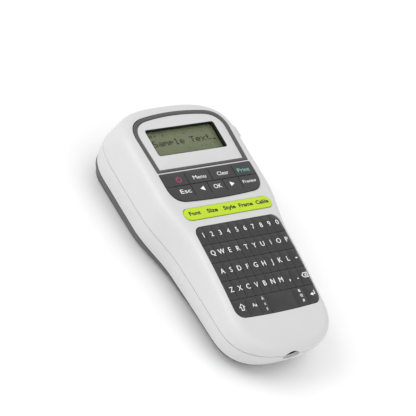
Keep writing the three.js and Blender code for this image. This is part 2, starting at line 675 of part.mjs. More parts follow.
const inletFace = GRIP_WALL_Y + INLET.setback;
const inletBack = inletFace + INLET.depth;
add('power_inlet', join(
  inletBody(0).subtract(barAlongY(INLET.x, INLET.z, INLET.bore, inletFace - 1, inletBack - 1.5)),
  barAlongY(INLET.x, INLET.z, INLET.pin, inletFace + 0.6, inletBack - 1),
), finish(BLACK, 0.5));

const cellProfile = [[0, 0], [CELL.radius - 0.6, 0], [CELL.radius, 0.6], [CELL.radius, CELL.length - 1.6],
  [CELL.radius - 0.8, CELL.length - 1], [1.9, CELL.length - 1], [1.9, CELL.length], [0, CELL.length]];
for (let i = 0; i < CELL.count; i += 1) {
  const geometry = lathe(cellProfile, 14);
  geometry.translate(0, -CELL.length / 2, 0);
  if (i % 2) geometry.rotateZ(Math.PI);
  geometry.translate((i - (CELL.count - 1) / 2) * CELL.pitch, CELL.start + CELL.length / 2, CELL.z);
  add(`battery_${i + 1}`, solid(geometry), finish('#3c6f8f', 0.35, 0.3));
}

// Sprung contact plates at the two ends of the bay, each with a dimple for every cell.
function contactAt(y, dimple) {
  const plate = box(
    [-BAY.half + CONTACT.margin, BAY.half - CONTACT.margin],
    [y - CONTACT.half, y + CONTACT.half],
    [CELL.z - 2.4, GRIP_PLATE.low - GAP],
  );
  const [y0, y1] = [Math.min(y, y + dimple), Math.max(y, y + dimple)];
  const dimples = Array.from({ length: CELL.count }, (_, i) =>
    barAlongY((i - (CELL.count - 1) / 2) * CELL.pitch, CELL.z, CONTACT.radius, y0, y1, 8));
  return join(plate, ...dimples);
}
add('contact_plate_grip', contactAt(BAY.low + CONTACT.inset, CONTACT.dimple), finish(NICKEL, 0.3, 1));
add('contact_plate_head', contactAt(BAY.high - CONTACT.inset, -CONTACT.dimple), finish(NICKEL, 0.3, 1));

// ---------------------------------------------------------------- cutter

// The pad's outline seen from above: flush with the side at its two ends and proud in the middle.
function padCrown() {
  const edge = HEAD_HALF_WIDTH - PAD.sunk;
  const crest = edge + 2 * (LEVER_PROUD + PAD.sunk);
  const shape = new THREE.Shape();
  shape.moveTo(PAD.inner, PAD.low);
  shape.lineTo(edge, PAD.low);
  shape.quadraticCurveTo(crest, (PAD.low + PAD.high) / 2, edge, PAD.high);
  shape.lineTo(PAD.inner, PAD.high);
  return shape;
}
const leverArm = polygon([[42, 90], [47.8, 90], [48.2, 113], [44.5, 122], [35, 133], [26.5, 133],
  [26.5, 130.8], [31, 130.5], [40.5, 119], [43.5, 110]]);
// The crowned pad with its upper and lower outer edges rounded.
function leverPad() {
  const crowned = solid(prism(padCrown(), CUTTER.padLow, CUTTER.padHigh, 10));
  const endView = roundedBox([PAD.inner - 20, HEAD_HALF_WIDTH + LEVER_PROUD],
    [CUTTER.padLow, CUTTER.padHigh], PAD.edgeRadius);
  const rounded = new THREE.ExtrudeGeometry(endView, { depth: 60, bevelEnabled: false, curveSegments: 5 });
  rounded.rotateX(Math.PI / 2);
  rounded.translate(0, PAD.high + 20, 0);
  return crowned.intersect(solid(rounded));
}
add('cutter_lever', cut(
  join(
    leverPad(),
    solid(prism(leverArm, CUTTER.padLow, CUTTER.armHigh)),
    bar(CUTTER_PIVOT.x, CUTTER_PIVOT.y, CUTTER.hubRadius, CUTTER.padLow, CUTTER.armHigh, 18),
  ),
  bar(CUTTER_PIVOT.x, CUTTER_PIVOT.y, CUTTER.bore, CUTTER.padLow - 1, CUTTER.armHigh + 1, 16),
), finish(WHITE, 0.45));
add('cutter_blade', box([BLADE.rest, BLADE.rest + BLADE.length], [BLADE.y, BLADE.y + 0.8],
  [EXIT_SLOT.low, CUTTER.armHigh - 1]), finish('#b8bcc0', 0.25, 1));

// A torsion spring wound round the cutter's post, under the lever.
function coil({ x, y, radius, wire, low, turns, stepsPerTurn }) {
  const steps = turns * stepsPerTurn;
  const points = Array.from({ length: steps + 1 }, (_, i) => {
    const angle = 2 * Math.PI * i / stepsPerTurn;
    const height = low + (wire + 0.5) * i / stepsPerTurn;
    return new THREE.Vector3(x + radius * Math.cos(angle), y + radius * Math.sin(angle), height);
  });
  const section = new THREE.Shape().absarc(0, 0, wire / 2, 0, 2 * Math.PI);
  return solid(new THREE.ExtrudeGeometry(section, {
    steps, extrudePath: new THREE.CatmullRomCurve3(points), bevelEnabled: false, curveSegments: 3,
  }));
}
add('cutter_spring', coil({
  x: CUTTER_PIVOT.x,
  y: CUTTER_PIVOT.y,
  radius: 3.1,
  wire: 0.8,
  low: HEAD_PLATE.high + 1.4,
  turns: 3,
  stepsPerTurn: 10,
}), finish(STEEL_GREY, 0.3, 1));

// ---------------------------------------------------------------- tape drive

add('drive_motor', bar(MOTOR.x, MOTOR.y, MOTOR.radius, MOTOR.low, MOTOR.high, 24),
  finish(STEEL_GREY, 0.35, 1));
const shaftTop = GEAR_LAYER.high + 0.8;
add('motor_pinion', join(
  gear({ ...MOTOR, teeth: TEETH.pinion, turn: meshTurn(IDLER, MOTOR, TEETH.pinion), bore: 0.9 }),
  bar(MOTOR.x, MOTOR.y, 1, MOTOR.high + GAP, shaftTop, 10),
), finish('#c9b06a', 0.4, 0.8));
add('idler_gear', gear({ ...IDLER, teeth: TEETH.idler, turn: 0, bore: 1.8 }), finish(ACETAL, 0.5));
const platenTurn = meshTurn(IDLER, PLATEN, TEETH.platen);
add('platen_gear', gear({ ...PLATEN, teeth: TEETH.platen, turn: platenTurn, bore: 1.5 }),
  finish(ACETAL, 0.5));

const roller = ({ x, y, radius }, top) => join(
  bar(x, y, radius, PLATEN.low, PLATEN.high, 20),
  bar(x, y, 1.2, ROLLER_ARM.low - 0.6, top, 12),
);
add('platen_roller', roller(PLATEN, shaftTop), finish('#1e1e20', 0.85));
add('feed_roller', roller(FEED_ROLLER, ROLLER_ARM.high + 0.6), finish('#1e1e20', 0.85));

const armEnd = FEED_ROLLER.y + 3;
const armEar = (zs) => box([PLATEN.x - 2.6, ARM_PIVOT.x + 1], [PLATEN.y - 3.4, armEnd], zs);
const armHole = ({ x, y }, radius) => bar(x, y, radius, ROLLER_ARM.low - 1, ROLLER_ARM.high + 1, 14);
add('roller_arm', cut(
  join(
    armEar([ROLLER_ARM.low, ROLLER_ARM.low + ROLLER_ARM.sheet]),
    armEar([ROLLER_ARM.high - ROLLER_ARM.sheet, ROLLER_ARM.high]),
    box(
      [ARM_PIVOT.x - 0.9, ARM_PIVOT.x + 1],
      [ARM_PIVOT.y + 2, armEnd],
      [ROLLER_ARM.low, ROLLER_ARM.high],
    ),
    bar(ARM_PIVOT.x, ARM_PIVOT.y, 3, ROLLER_ARM.low, ROLLER_ARM.high, 16),
  ),
  armHole(ARM_PIVOT, 1.8),
  armHole(PLATEN, 1.5),
  armHole(FEED_ROLLER, 1.5),
), finish(STEEL_GREY, 0.4, 1));

add('print_head', join(
  box(
    [PRINT_HEAD_FACE - 1.2, PRINT_HEAD_FACE],
    [PLATEN.y - 5, PLATEN.y + 5],
    [PLATEN.low - 0.6, PLATEN.high + 0.4],
  ),
  box([PRINT_HEAD_FACE - 3.4, PRINT_HEAD_FACE - 0.8], [PLATEN.y - 3.5, PLATEN.y + 3.5],
    [PLATEN.low, HEAD_PLATE.low - GAP]),
), finish('#8a7f6c', 0.4, 0.6));

// The ribbon drive: a splined shaft moulded in one with its gear.
const splines = Array.from({ length: 3 }, (_, i) => {
  const rib = new THREE.BoxGeometry(1, 3.8, RIBBON_SHAFT.top - RIBBON_SHAFT.low);
  rib.rotateZ(Math.PI * i / 3);
  rib.translate(RIBBON_SHAFT.x, RIBBON_SHAFT.y, (RIBBON_SHAFT.top + RIBBON_SHAFT.low) / 2);
  return solid(rib);
});
const ribbonTurn = meshTurn(IDLER, RIBBON_SHAFT, TEETH.ribbon);
add('ribbon_shaft', join(
  gear({ ...RIBBON_SHAFT, teeth: TEETH.ribbon, turn: ribbonTurn, bore: 1.2 }),
  bar(RIBBON_SHAFT.x, RIBBON_SHAFT.y, 1.5, RIBBON_SHAFT.low, shaftTop, 12),
  ...splines,
), finish(ACETAL, 0.5));

// ---------------------------------------------------------------- tape cassette

function tapeCassette({ left, right, bottom, top, low, high, wall }) {
  const hollow = [low + wall, high - wall];
  return cut(
    box([left, right], [bottom, top], [low, high]),
    box([left + wall, right - wall], [bottom + wall, top - wall], hollow),
    box([right - 3, right + 3], [PLATEN.y - 6, top - wall], hollow),
    bar(RIBBON_SHAFT.x, RIBBON_SHAFT.y, 2.6, high - 4, high + 4, 14),
  );
}
add('tape_cassette', tapeCassette(CASSETTE), finish('#3a3d41', 0.45));
add('tape_roll', bar(TAPE_ROLL.x, TAPE_ROLL.y, TAPE_ROLL.radius, TAPE_ROLL.low, TAPE_ROLL.high, 32)
  .subtract(bar(TAPE_ROLL.x, TAPE_ROLL.y, TAPE_ROLL.bore, TAPE_ROLL.low - 1, TAPE_ROLL.high + 1, 20)),
finish('#f2f2ee', 0.5));

export default labelMaker;
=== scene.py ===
"""A handheld label maker lying on its back: satin white shells over a grey back cover, a framed
display, dark function and letter keys, a lime style bar, and a cutter lever on the right side.

Shapes are worked out in millimetres in the plan of the front face (x to the right, y towards the
head, z out of the keys), laid onto the leaning face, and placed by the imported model's boxes."""

import math

import bmesh
import bpy
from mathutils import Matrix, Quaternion, Vector


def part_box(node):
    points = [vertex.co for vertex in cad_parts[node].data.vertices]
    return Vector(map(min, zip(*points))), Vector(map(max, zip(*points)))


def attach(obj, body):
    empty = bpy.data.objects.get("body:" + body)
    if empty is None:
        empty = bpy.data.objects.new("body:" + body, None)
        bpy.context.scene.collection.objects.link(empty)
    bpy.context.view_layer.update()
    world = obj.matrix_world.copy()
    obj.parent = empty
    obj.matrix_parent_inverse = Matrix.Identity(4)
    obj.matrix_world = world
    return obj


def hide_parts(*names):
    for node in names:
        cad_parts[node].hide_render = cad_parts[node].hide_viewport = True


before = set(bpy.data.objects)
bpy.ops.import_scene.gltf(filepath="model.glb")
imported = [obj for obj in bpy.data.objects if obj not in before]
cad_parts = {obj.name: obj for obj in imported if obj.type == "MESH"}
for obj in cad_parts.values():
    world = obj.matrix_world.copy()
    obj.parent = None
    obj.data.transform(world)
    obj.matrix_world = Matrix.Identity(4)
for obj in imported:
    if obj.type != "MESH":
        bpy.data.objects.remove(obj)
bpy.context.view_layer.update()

MM = 0.001

# ---------------------------------------------------------------- driving sizes, in millimetres

GRIP_END, HEAD_END = -67.0, 139.0
GRIP_HALF_WIDTH, HEAD_HALF_WIDTH = 44.7, 52.3
WAIST = (18.6, 63.5)
END_ROUND = 33.0
GRIP_POWER, HEAD_POWER = 2.55, 2.86

FACE_TILT = math.atan(0.19)
KEYPAD_HEIGHT = 47.5
HEAD_BEND = math.radians(6.76)
BEND_START, BEND_SOFTNESS = 10.7, 12.0
SHOULDER = 8.3

WALL, COVER_WALL, GAP = 2.2, 2.0, 0.4
LIP = 0.25
PARTING = ((-75, 29.8), (-50, 24.8), (-25, 24.7), (0, 25.4), (25, 25.8), (60, 27.8), (100, 29.4),
           (135, 32.7))
COVER_SEAM = ((-75, 10.6), (-15, 11), (35, 10.6), (65, 12.5), (85, 13.1), (108, 14.2), (135, 18))
COVER_EDGE = ((-75, 7.4), (-15, 7.6), (10, 5.3), (35, 3.4), (60, 3.7), (85, 4.4), (105, 4.9), (135, 9))
COVER_FLAT = ((-30, 18), (35, 12), (100, 12), (135, 14))
SEAM_INSETS = ((60, 3), (95, 3.2), (108, 3), (120, 3.8), (135, 4.2))
EDGE_INSETS = ((-20, 7), (35, 7.5), (85, 8.2), (110, 9), (135, 7.6))
FLANK_SWELL = 0.7

KEYPAD = {"half": 38.8, "bottom": -36.4, "top": 35.4, "low_round": 8.0, "top_round": 6.5, "bulge": 0.8}
PANEL = {"half": 42.0, "bottom": 56.6, "top": 80.6, "low_round": 13.5, "top_round": 1.0, "bulge": 0.9}
BAR = {"half": 40.2, "bottom": 41.4, "top": 50.8, "round": 4.7}
KEY_RISE, KEY_DEPTH = 0.9, 2.6
KEY_PITCH, KEY_COLUMNS = 7.68, 10
ROW_EDGES = (35.4, 21.2, 6.7, -7.8, -22.3, -36.4)

DISPLAY = {"bottom": 82.3, "top": 130.2, "low_half": 42.1, "top_half": 43.2, "corner": 16.0, "crown": 2.0}
RIM_SIDE, RIM_TOP, RIM_BOTTOM = 3.1, 2.5, 1.7
WINDOW = {"x": -0.4, "half": 31.6, "bottom": 96.0, "top": 117.8, "round": 1.6}
LCD_DEPTH = 3.6


# ---------------------------------------------------------------- the body's form

def face_drop(y):
    """How far the face falls below the keypad's plane at y."""
    return -math.tan(HEAD_BEND) * BEND_SOFTNESS * math.log1p(math.exp((y - BEND_START) / BEND_SOFTNESS))


def lying(x, y, z):
    """From the face's plan to the body lying on its back, still in millimetres."""
    up, along = math.sin(FACE_TILT), math.cos(FACE_TILT)
    return Vector((x, y * along - z * up, y * up + z * along + KEYPAD_HEIGHT))


def face_height(height, y):
    """The face's z that lies at a height above the back."""
    return (height - KEYPAD_HEIGHT - y * math.sin(FACE_TILT)) / math.cos(FACE_TILT)


housing_low, housing_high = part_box("rear_housing")
BODY_X = (housing_low.x + housing_high.x) / 2
BODY_Y = housing_high.y - lying(0, HEAD_END, face_height(PARTING[-1][1], HEAD_END)).y * MM


def place(x, y, z):
    """A point of the lying body in metres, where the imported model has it."""
    return Vector((x * MM + BODY_X, y * MM + BODY_Y, z * MM))


def face_point(x, y, z):
    return place(*lying(x, y, z))


def on_face(x, y, z=0.0):
    """A point z above the bent face."""
    return face_point(x, y, face_drop(y) + z)


def through(knots):
    """A smooth function through (y, value) knots, level beyond the first and last."""
    def slope(i):
        a, b = knots[max(i - 1, 0)], knots[min(i + 1, len(knots) - 1)]
        return (b[1] - a[1]) / (b[0] - a[0])

    def value(y):
        if y <= knots[0][0]:
            return knots[0][1]
        if y >= knots[-1][0]:
            return knots[-1][1]
        end = next(i for i, knot in enumerate(knots) if knot[0] > y)
        (y0, v0), (y1, v1) = knots[end - 1], knots[end]
        t = (y - y0) / (y1 - y0)
        s = 1 - t
        eased = s * s * (1 + 2 * t) * v0 + t * t * (1 + 2 * s) * v1
        return eased + (y1 - y0) * t * s * (s * slope(end - 1) - t * slope(end))

    return value


parting_height = through(PARTING)
seam_height = through(COVER_SEAM)
edge_height = through(COVER_EDGE)
flat_inset = through(COVER_FLAT)
seam_inset = through(SEAM_INSETS)
edge_inset = through(EDGE_INSETS)


def half_width(y):
    t = min(1.0, max(0.0, (y - WAIST[0]) / (WAIST[1] - WAIST[0])))
    side = GRIP_HALF_WIDTH + (HEAD_HALF_WIDTH - GRIP_HALF_WIDTH) * t * t * (3 - 2 * t)

    def rounding(from_end, power):
        reach = min(1.0, max(0.0, 1 - from_end / END_ROUND))
        return (1 - reach**power) ** (1 / power)

    return side * rounding(y - GRIP_END, GRIP_POWER) * rounding(HEAD_END - y, HEAD_POWER)


HALF_STEPS = 104


def body_outline(inset):
    """The body's outline in plan moved inwards by inset(y): up the right side, then down the left."""
    middle, reach = (GRIP_END + HEAD_END) / 2, (HEAD_END - GRIP_END) / 2

    def at(angle):
        y = middle - reach * math.cos(angle)
        return Vector((half_width(y), y))

    right = [Vector((0, GRIP_END + inset(GRIP_END)))]
    for i in range(1, HALF_STEPS):
        angle = math.pi * i / HALF_STEPS
        point = at(angle)
        along = (at(angle + 1e-3) - at(angle - 1e-3)).normalized()
        right.append(point + Vector((-along.y, along.x)) * inset(point.y))
    right.append(Vector((0, HEAD_END - inset(HEAD_END))))
    return right + [Vector((-p.x, p.y)) for p in reversed(right[1:-1])]


def level(inset, height):
    """One loop round the body: inset and height are functions of y, height in the face's z."""
    return [face_point(p.x, p.y, height(p.y)) for p in body_outline(inset)]


# Upright posts and shafts of the tape drive, in the plan of the back.
ARM_PIVOT, LEVER_PIVOT = (29.8, 104.5), (45.0, 91.0)
IDLER, MOTOR, RIBBON_SHAFT, TAPE_ROLL = (21.47, 96.93), (32.5, 84.0), (3.05, 100.18), (-19.6, 98.0)
ROLLERS = {"platen_roller": (23.7, 115.5), "feed_roller": (23.7, 123.4)}
# How far the rollers' holes stand to the right, so that their arm can swing open.
ROLLER_PLAY = 1.0


# ---------------------------------------------------------------- mesh helpers

UP, ALONG = (0, 0, 1), (0, 1, 0)


def new_object(name, vertices, faces, material=None, sharp=32.0):
    """A mesh object with its faces turned outwards, smooth but for edges sharper than the angle."""
    mesh = bpy.data.meshes.new(name)
    mesh.from_pydata([tuple(v) for v in vertices], [], faces)
    obj = bpy.data.objects.new(name, mesh)
    bpy.context.scene.collection.objects.link(obj)
    if material:
        mesh.materials.append(material)
    settle(obj, sharp)
    return obj


def settle(obj, sharp=32.0):
    """Merges doubled points, turns faces outwards and sets where the shading breaks."""
    work = bmesh.new()
    work.from_mesh(obj.data)
    bmesh.ops.remove_doubles(work, verts=work.verts, dist=1e-7)
    bmesh.ops.dissolve_degenerate(work, edges=work.edges, dist=1e-7)
    bmesh.ops.recalc_face_normals(work, faces=work.faces)
    work.to_mesh(obj.data)
    work.free()
    obj.data.shade_smooth()
    obj.data.set_sharp_from_angle(angle=math.radians(sharp))


def carve(target, tools, operation="DIFFERENCE", sharp=32.0):
    """Cuts the tools out of the target, or joins or crosses them with it, and throws them away."""
    for tool in tools:
        modifier = target.modifiers.new("carve", "BOOLEAN")
        modifier.operation = operation
        modifier.solver = "EXACT"
        modifier.object = tool
    bpy.context.view_layer.update()
    shaped = target.evaluated_get(bpy.context.evaluated_depsgraph_get())
    mesh = bpy.data.meshes.new_from_object(shaped)
    target.modifiers.clear()
    target.data = mesh
    for tool in tools:
        bpy.data.objects.remove(tool)
    settle(target, sharp)
    return target


def between_loops(count, levels, closed=False):
    """The side faces of loops of equal count, stacked."""
    faces = []
    for k in range(levels if closed else levels - 1):
        a, b = k * count, ((k + 1) % levels) * count
        faces += [(a + i, a + (i + 1) % count, b + (i + 1) % count, b + i) for i in range(count)]
    return faces


def strips(start, count):
    """Faces that close a loop straight across the body, so that they follow its bend."""
    faces = []
    for i in range(count // 2):
        a, b, c, d = i, i + 1, count - i - 1, (count - i) % count
        faces.append(tuple(start + k for k in dict.fromkeys((a, b, c, d))))
    return faces


def body_solid(name, levels):
    count = len(levels[0])
    vertices = [p for loop in levels for p in loop]
    faces = between_loops(count, len(levels))
    faces += strips(0, count) + strips((len(levels) - 1) * count, count)
    return new_object(name, vertices, faces)


def body_shell(name, outer, inner, material, open_ends=False):
    """A wall between outer and inner loops: a cup, or a sleeve if open at both ends."""
    count = len(outer[0])
    loops = outer + inner[::-1] if open_ends else outer[::-1] + inner
    vertices = [p for loop in loops for p in loop]
    faces = between_loops(count, len(loops), closed=open_ends)
    if not open_ends:
        faces += strips(0, count) + strips((len(loops) - 1) * count, count)
    return new_object(name, vertices, faces, material)


def stack(name, loops, material=None, middles=None, sharp=32.0):
    """A solid through small loops, closed at each end by a fan to its middle."""
    count = len(loops[0])
    vertices = [p for loop in loops for p in loop]
    faces = between_loops(count, len(loops))
    ends = middles or [sum(loop, Vector()) / count for loop in (loops[0], loops[-1])]
    for middle, start in zip(ends, (0, (len(loops) - 1) * count)):
        vertices.append(middle)
        faces += [(start + i, start + (i + 1) % count, len(vertices) - 1) for i in range(count)]
    return new_object(name, vertices, faces, material, sharp)


def ring(name, loops, material, sharp=32.0):
    """A closed band: the last loop joins back to the first."""
    faces = between_loops(len(loops[0]), len(loops), closed=True)
    return new_object(name, [p for loop in loops for p in loop], faces, material, sharp)


BOX_SIDES = ((0, 1, 3, 2), (4, 5, 7, 6), (0, 1, 5, 4), (1, 3, 7, 5), (3, 2, 6, 7), (2, 0, 4, 6))


def box_tool(xs, ys, zs):
    return new_object("tool", [place(x, y, z) for z in zs for y in ys for x in xs], BOX_SIDES)


def turned(name, profile, base, axis, material, sides=48, sharp=32.0):
    """A solid of revolution: (radius, height) pairs up from base along axis, on the axis at both ends."""
    turn = Vector(UP).rotation_difference(Vector(axis))
    loops = []
    for radius, height in profile[1:-1]:
        ring_points = [
            Vector((radius * math.cos(a), radius * math.sin(a), height)) * MM
            for a in (2 * math.pi * i / sides for i in range(sides))
        ]
        loops.append([base + turn @ p for p in ring_points])
    middles = [base + turn @ Vector((0, 0, profile[i][1] * MM)) for i in (0, -1)]
    return stack(name, loops, material, middles, sharp)


def bar_tool(x, y, radius, low, high, sides=48):
    profile = [(0, low), (radius, low), (radius, high), (0, high)]
    return turned("tool", profile, place(x, y, 0), UP, None, sides)


def standing(name, outline, heights, material=None):
    """A solid with one outline in the plan of the back, between two heights."""
    return stack(name, [[place(x, y, z) for x, y in outline] for z in heights], material)


# ---------------------------------------------------------------- outlines in plan

def arc(cx, cy, radius, start, end, steps=10):
    angles = [math.radians(start + (end - start) * i / steps) for i in range(steps + 1)]
    return [(cx + radius * math.cos(a), cy + radius * math.sin(a)) for a in angles]


def bow(start, pull, end, steps=12):
    """A quadratic curve from start to end, drawn towards pull."""
    points = []
    for i in range(steps + 1):
        t = i / steps
        a, b, c = (1 - t) ** 2, 2 * t * (1 - t), t * t
        points.append((a * start[0] + b * pull[0] + c * end[0], a * start[1] + b * pull[1] + c * end[1]))
    return points


def tidy(points):
    """The outline without points that fall on the one before."""
    kept = []
    for p in points:
        if not kept or math.dist(p, kept[-1]) > 1e-3:
            kept.append(p)
    if math.dist(kept[0], kept[-1]) < 1e-3:
        kept.pop()
    return kept


def field(spec, grow=0.0):
    """A key field: straight sides and top, round corners, and a lower edge that bows out."""
    x, low, high = spec["half"] + grow, spec["bottom"] - grow, spec["top"] + grow
    r, t = spec["low_round"], spec["top_round"]
    return tidy(
        bow((-x + r, low), (0, low - 2 * spec["bulge"]), (x - r, low), 24)
        + bow((x - r, low), (x, low), (x, low + r))
        + arc(x - t, high - t, t, 0, 90)
        + arc(-x + t, high - t, t, 90, 180)
        + bow((-x, low + r), (-x, low), (-x + r, low))
    )


def rounded_box(x0, x1, y0, y1, radius, steps=10):
    return tidy(
        arc(x1 - radius, y0 + radius, radius, -90, 0, steps)
        + arc(x1 - radius, y1 - radius, radius, 0, 90, steps)
        + arc(x0 + radius, y1 - radius, radius, 90, 180, steps)
        + arc(x0 + radius, y0 + radius, radius, 180, 270, steps)
    )


def bar_outline(grow=0.0):
    half, low, high = BAR["half"] + grow, BAR["bottom"] - grow, BAR["top"] + grow
    return rounded_box(-half, half, low, high, BAR["round"] + grow)


def window_outline(grow=0.0):
    x, half = WINDOW["x"], WINDOW["half"] + grow
    low, high = WINDOW["bottom"] - grow, WINDOW["top"] + grow
    return rounded_box(x - half, x + half, low, high, WINDOW["round"] + max(grow, -1))


def display_outline(side=0.0, top=0.0, bottom=0.0):
    """The display's outline moved inwards: sides that widen upwards, round shoulders, a crowned top."""
    low, high = DISPLAY["bottom"] + bottom, DISPLAY["top"] - top
    x0, x1 = DISPLAY["low_half"] - side, DISPLAY["top_half"] - side
    corner = DISPLAY["corner"] - max(side, 0) * 0.8
    spring = high - DISPLAY["crown"]
    foot = 0.6
    right = bow((x0 - foot, low), (x0, low), (x0, low + foot), 4)
    right += [(x0 + (x1 - x0) * t, low + (spring - corner - low) * t) for t in (0.25, 0.5, 0.75)]
    right += bow((x1, spring - corner), (x1 - 0.5, spring - 2), (x1 - corner, spring), 20)
    half_top = bow((x1 - corner, spring), (0, high + DISPLAY["crown"]), (-x1 + corner, spring), 28)
    left = [(-x, y) for x, y in reversed(right)]
    bottom_edge = [(-x0 + foot + (2 * x0 - 2 * foot) * t, low) for t in (0.25, 0.5, 0.75)]
    return right + half_top[1:-1] + left + bottom_edge


def inset_loop(points, distance):
    """A convex outline moved inwards by a small distance."""
    moved = []
    for i, p in enumerate(points):
        before, here, after = Vector(points[i - 1]), Vector(p), Vector(points[(i + 1) % len(points)])
        a, b = (here - before).normalized(), (after - here).normalized()
        normal = Vector((-(a.y + b.y), a.x + b.x))
        normal.normalize()
        lean = max(0.3, normal.dot(Vector((-a.y, a.x))))
        moved.append(tuple(here + normal * distance / lean))
    return moved


def clip(points, x0, x1, y0, y1):
    """The part of a convex outline inside a rectangle."""
    for axis, limit, keep in ((0, x0, 1), (0, x1, -1), (1, y0, 1), (1, y1, -1)):
        kept = []
        for i, p in enumerate(points):
            q = points[(i + 1) % len(points)]
            p_in, q_in = (p[axis] - limit) * keep >= 0, (q[axis] - limit) * keep >= 0
            if p_in:
                kept.append(p)
            if p_in != q_in:
                t = (limit - p[axis]) / (q[axis] - p[axis])
                kept.append((p[0] + (q[0] - p[0]) * t, p[1] + (q[1] - p[1]) * t))
        points = kept
    return tidy(points)


def round_corners(points, radius, steps=4):
    """A convex outline with its sharp corners rounded."""
    made = []
    for i, p in enumerate(points):
        before, here, after = Vector(points[i - 1]), Vector(p), Vector(points[(i + 1) % len(points)])
        a, b = before - here, after - here
        turn = math.pi - a.angle(b)
        if turn < math.radians(25):
            made.append(p)
            continue
        reach = min(radius * math.tan(turn / 2), a.length * 0.45, b.length * 0.45)
        start, end = here + a.normalized() * reach, here + b.normalized() * reach
        made += bow(tuple(start), p, tuple(end), steps)
    return tidy(made)


def divided(points, step=2.0):
    """The outline with extra points, so that no side is longer than the step."""
    made = []
    for i, p in enumerate(points):
        q = points[(i + 1) % len(points)]
        parts = max(1, math.ceil(math.dist(p, q) / step))
        made += [(p[0] + (q[0] - p[0]) * k / parts, p[1] + (q[1] - p[1]) * k / parts) for k in range(parts)]
    return made


def laid(points, z):
    """An outline on the face as a loop at z above it."""
    return [on_face(x, y, z) for x, y in points]


def face_tool(points, low, high):
    points = divided(points, 4.0)
    return stack("tool", [laid(points, low), laid(points, high)])


# ---------------------------------------------------------------- materials

NOISE, MATH = "ShaderNodeTexNoise", "ShaderNodeMath"
# How far apart the faint drifts of shade lie on a moulding.
DRIFT_MM = 18.0


def colour(code):
    """An sRGB hex colour as linear red, green, blue, alpha."""
    parts = [int(code[i : i + 2], 16) / 255 for i in (1, 3, 5)]
    return tuple(c / 12.92 if c <= 0.04045 else ((c + 0.055) / 1.055) ** 2.4 for c in parts) + (1.0,)


def add_node(tree, kind, settings=None, inputs=None, links=None):
    """One node of that kind, with its own settings, socket values and links to earlier outputs."""
    made = tree.nodes.new(kind)
    for name, value in (settings or {}).items():
        setattr(made, name, value)
    for socket, value in (inputs or {}).items():
        made.inputs[socket].default_value = value
    for socket, output in (links or {}).items():
        tree.links.new(output, made.inputs[socket])
    return made


def start_material(name, roughness, metallic=0.0):
    """A node material with its shader and the object's own coordinates in metres."""
    material = bpy.data.materials.new(name)
    material.use_nodes = True
    tree = material.node_tree
    principled = tree.nodes["Principled BSDF"]
    principled.inputs["Roughness"].default_value = roughness
    principled.inputs["Metallic"].default_value = metallic
    return material, tree, principled, add_node(tree, "ShaderNodeTexCoord").outputs["Object"]


def dress(tree, shades, share, pattern, roughness, relief):
    """Blends the shades by share, and lets the pattern vary the polish and stand out as relief."""
    dark, light = (colour(code) for code in shades)
    shade = add_node(tree, "ShaderNodeMix", {"data_type": "RGBA"}, {6: dark, 7: light}, {0: share})
    span = {"From Min": 0.3, "From Max": 0.7, "To Min": roughness[0], "To Max": roughness[1]}
    polish = add_node(tree, "ShaderNodeMapRange", None, span, {"Value": pattern})
    depth = {"Strength": relief[0], "Distance": relief[1] * MM}
    bump = add_node(tree, "ShaderNodeBump", None, depth, {"Height": pattern})
    principled = tree.nodes["Principled BSDF"]
    tree.links.new(shade.outputs[2], principled.inputs["Base Color"])
    tree.links.new(polish.outputs["Result"], principled.inputs["Roughness"])
    tree.links.new(bump.outputs["Normal"], principled.inputs["Normal"])


def grain_surface(name, light, dark, roughness, grain_mm, depth_mm, metallic=0.0):
    """A moulded skin: two near shades that drift over the part, with fine spark-eroded grain."""
    material, tree, _, where = start_material(name, roughness, metallic)
    drift, grain = (
        add_node(tree, NOISE, None, {"Scale": 1 / (size_mm * MM), "Detail": detail}, {"Vector": where})
        for size_mm, detail in ((DRIFT_MM, 2.0), (grain_mm, 3.0))
    )
    span = (roughness - 0.05, roughness + 0.05)
    dress(tree, (dark, light), drift.outputs["Fac"], grain.outputs["Fac"], span, (0.6, depth_mm))
    return material


def brushed_metal(name, light, dark, roughness, line_mm=0.25, along=(0.02, 1.0, 1.0)):
    """Metal with fine drawn or ground lines, stretched along one axis."""
    material, tree, _, where = start_material(name, roughness, 1.0)
    stretch = add_node(tree, "ShaderNodeMapping", None, {"Scale": along}, {"Vector": where})
    scale = {"Scale": 1 / (line_mm * MM), "Detail": 4.0}
    lines = add_node(tree, NOISE, None, scale, {"Vector": stretch.outputs["Vector"]}).outputs["Fac"]
    dress(tree, (dark, light), lines, lines, (roughness - 0.08, roughness + 0.1), (0.3, 0.01))
    return material


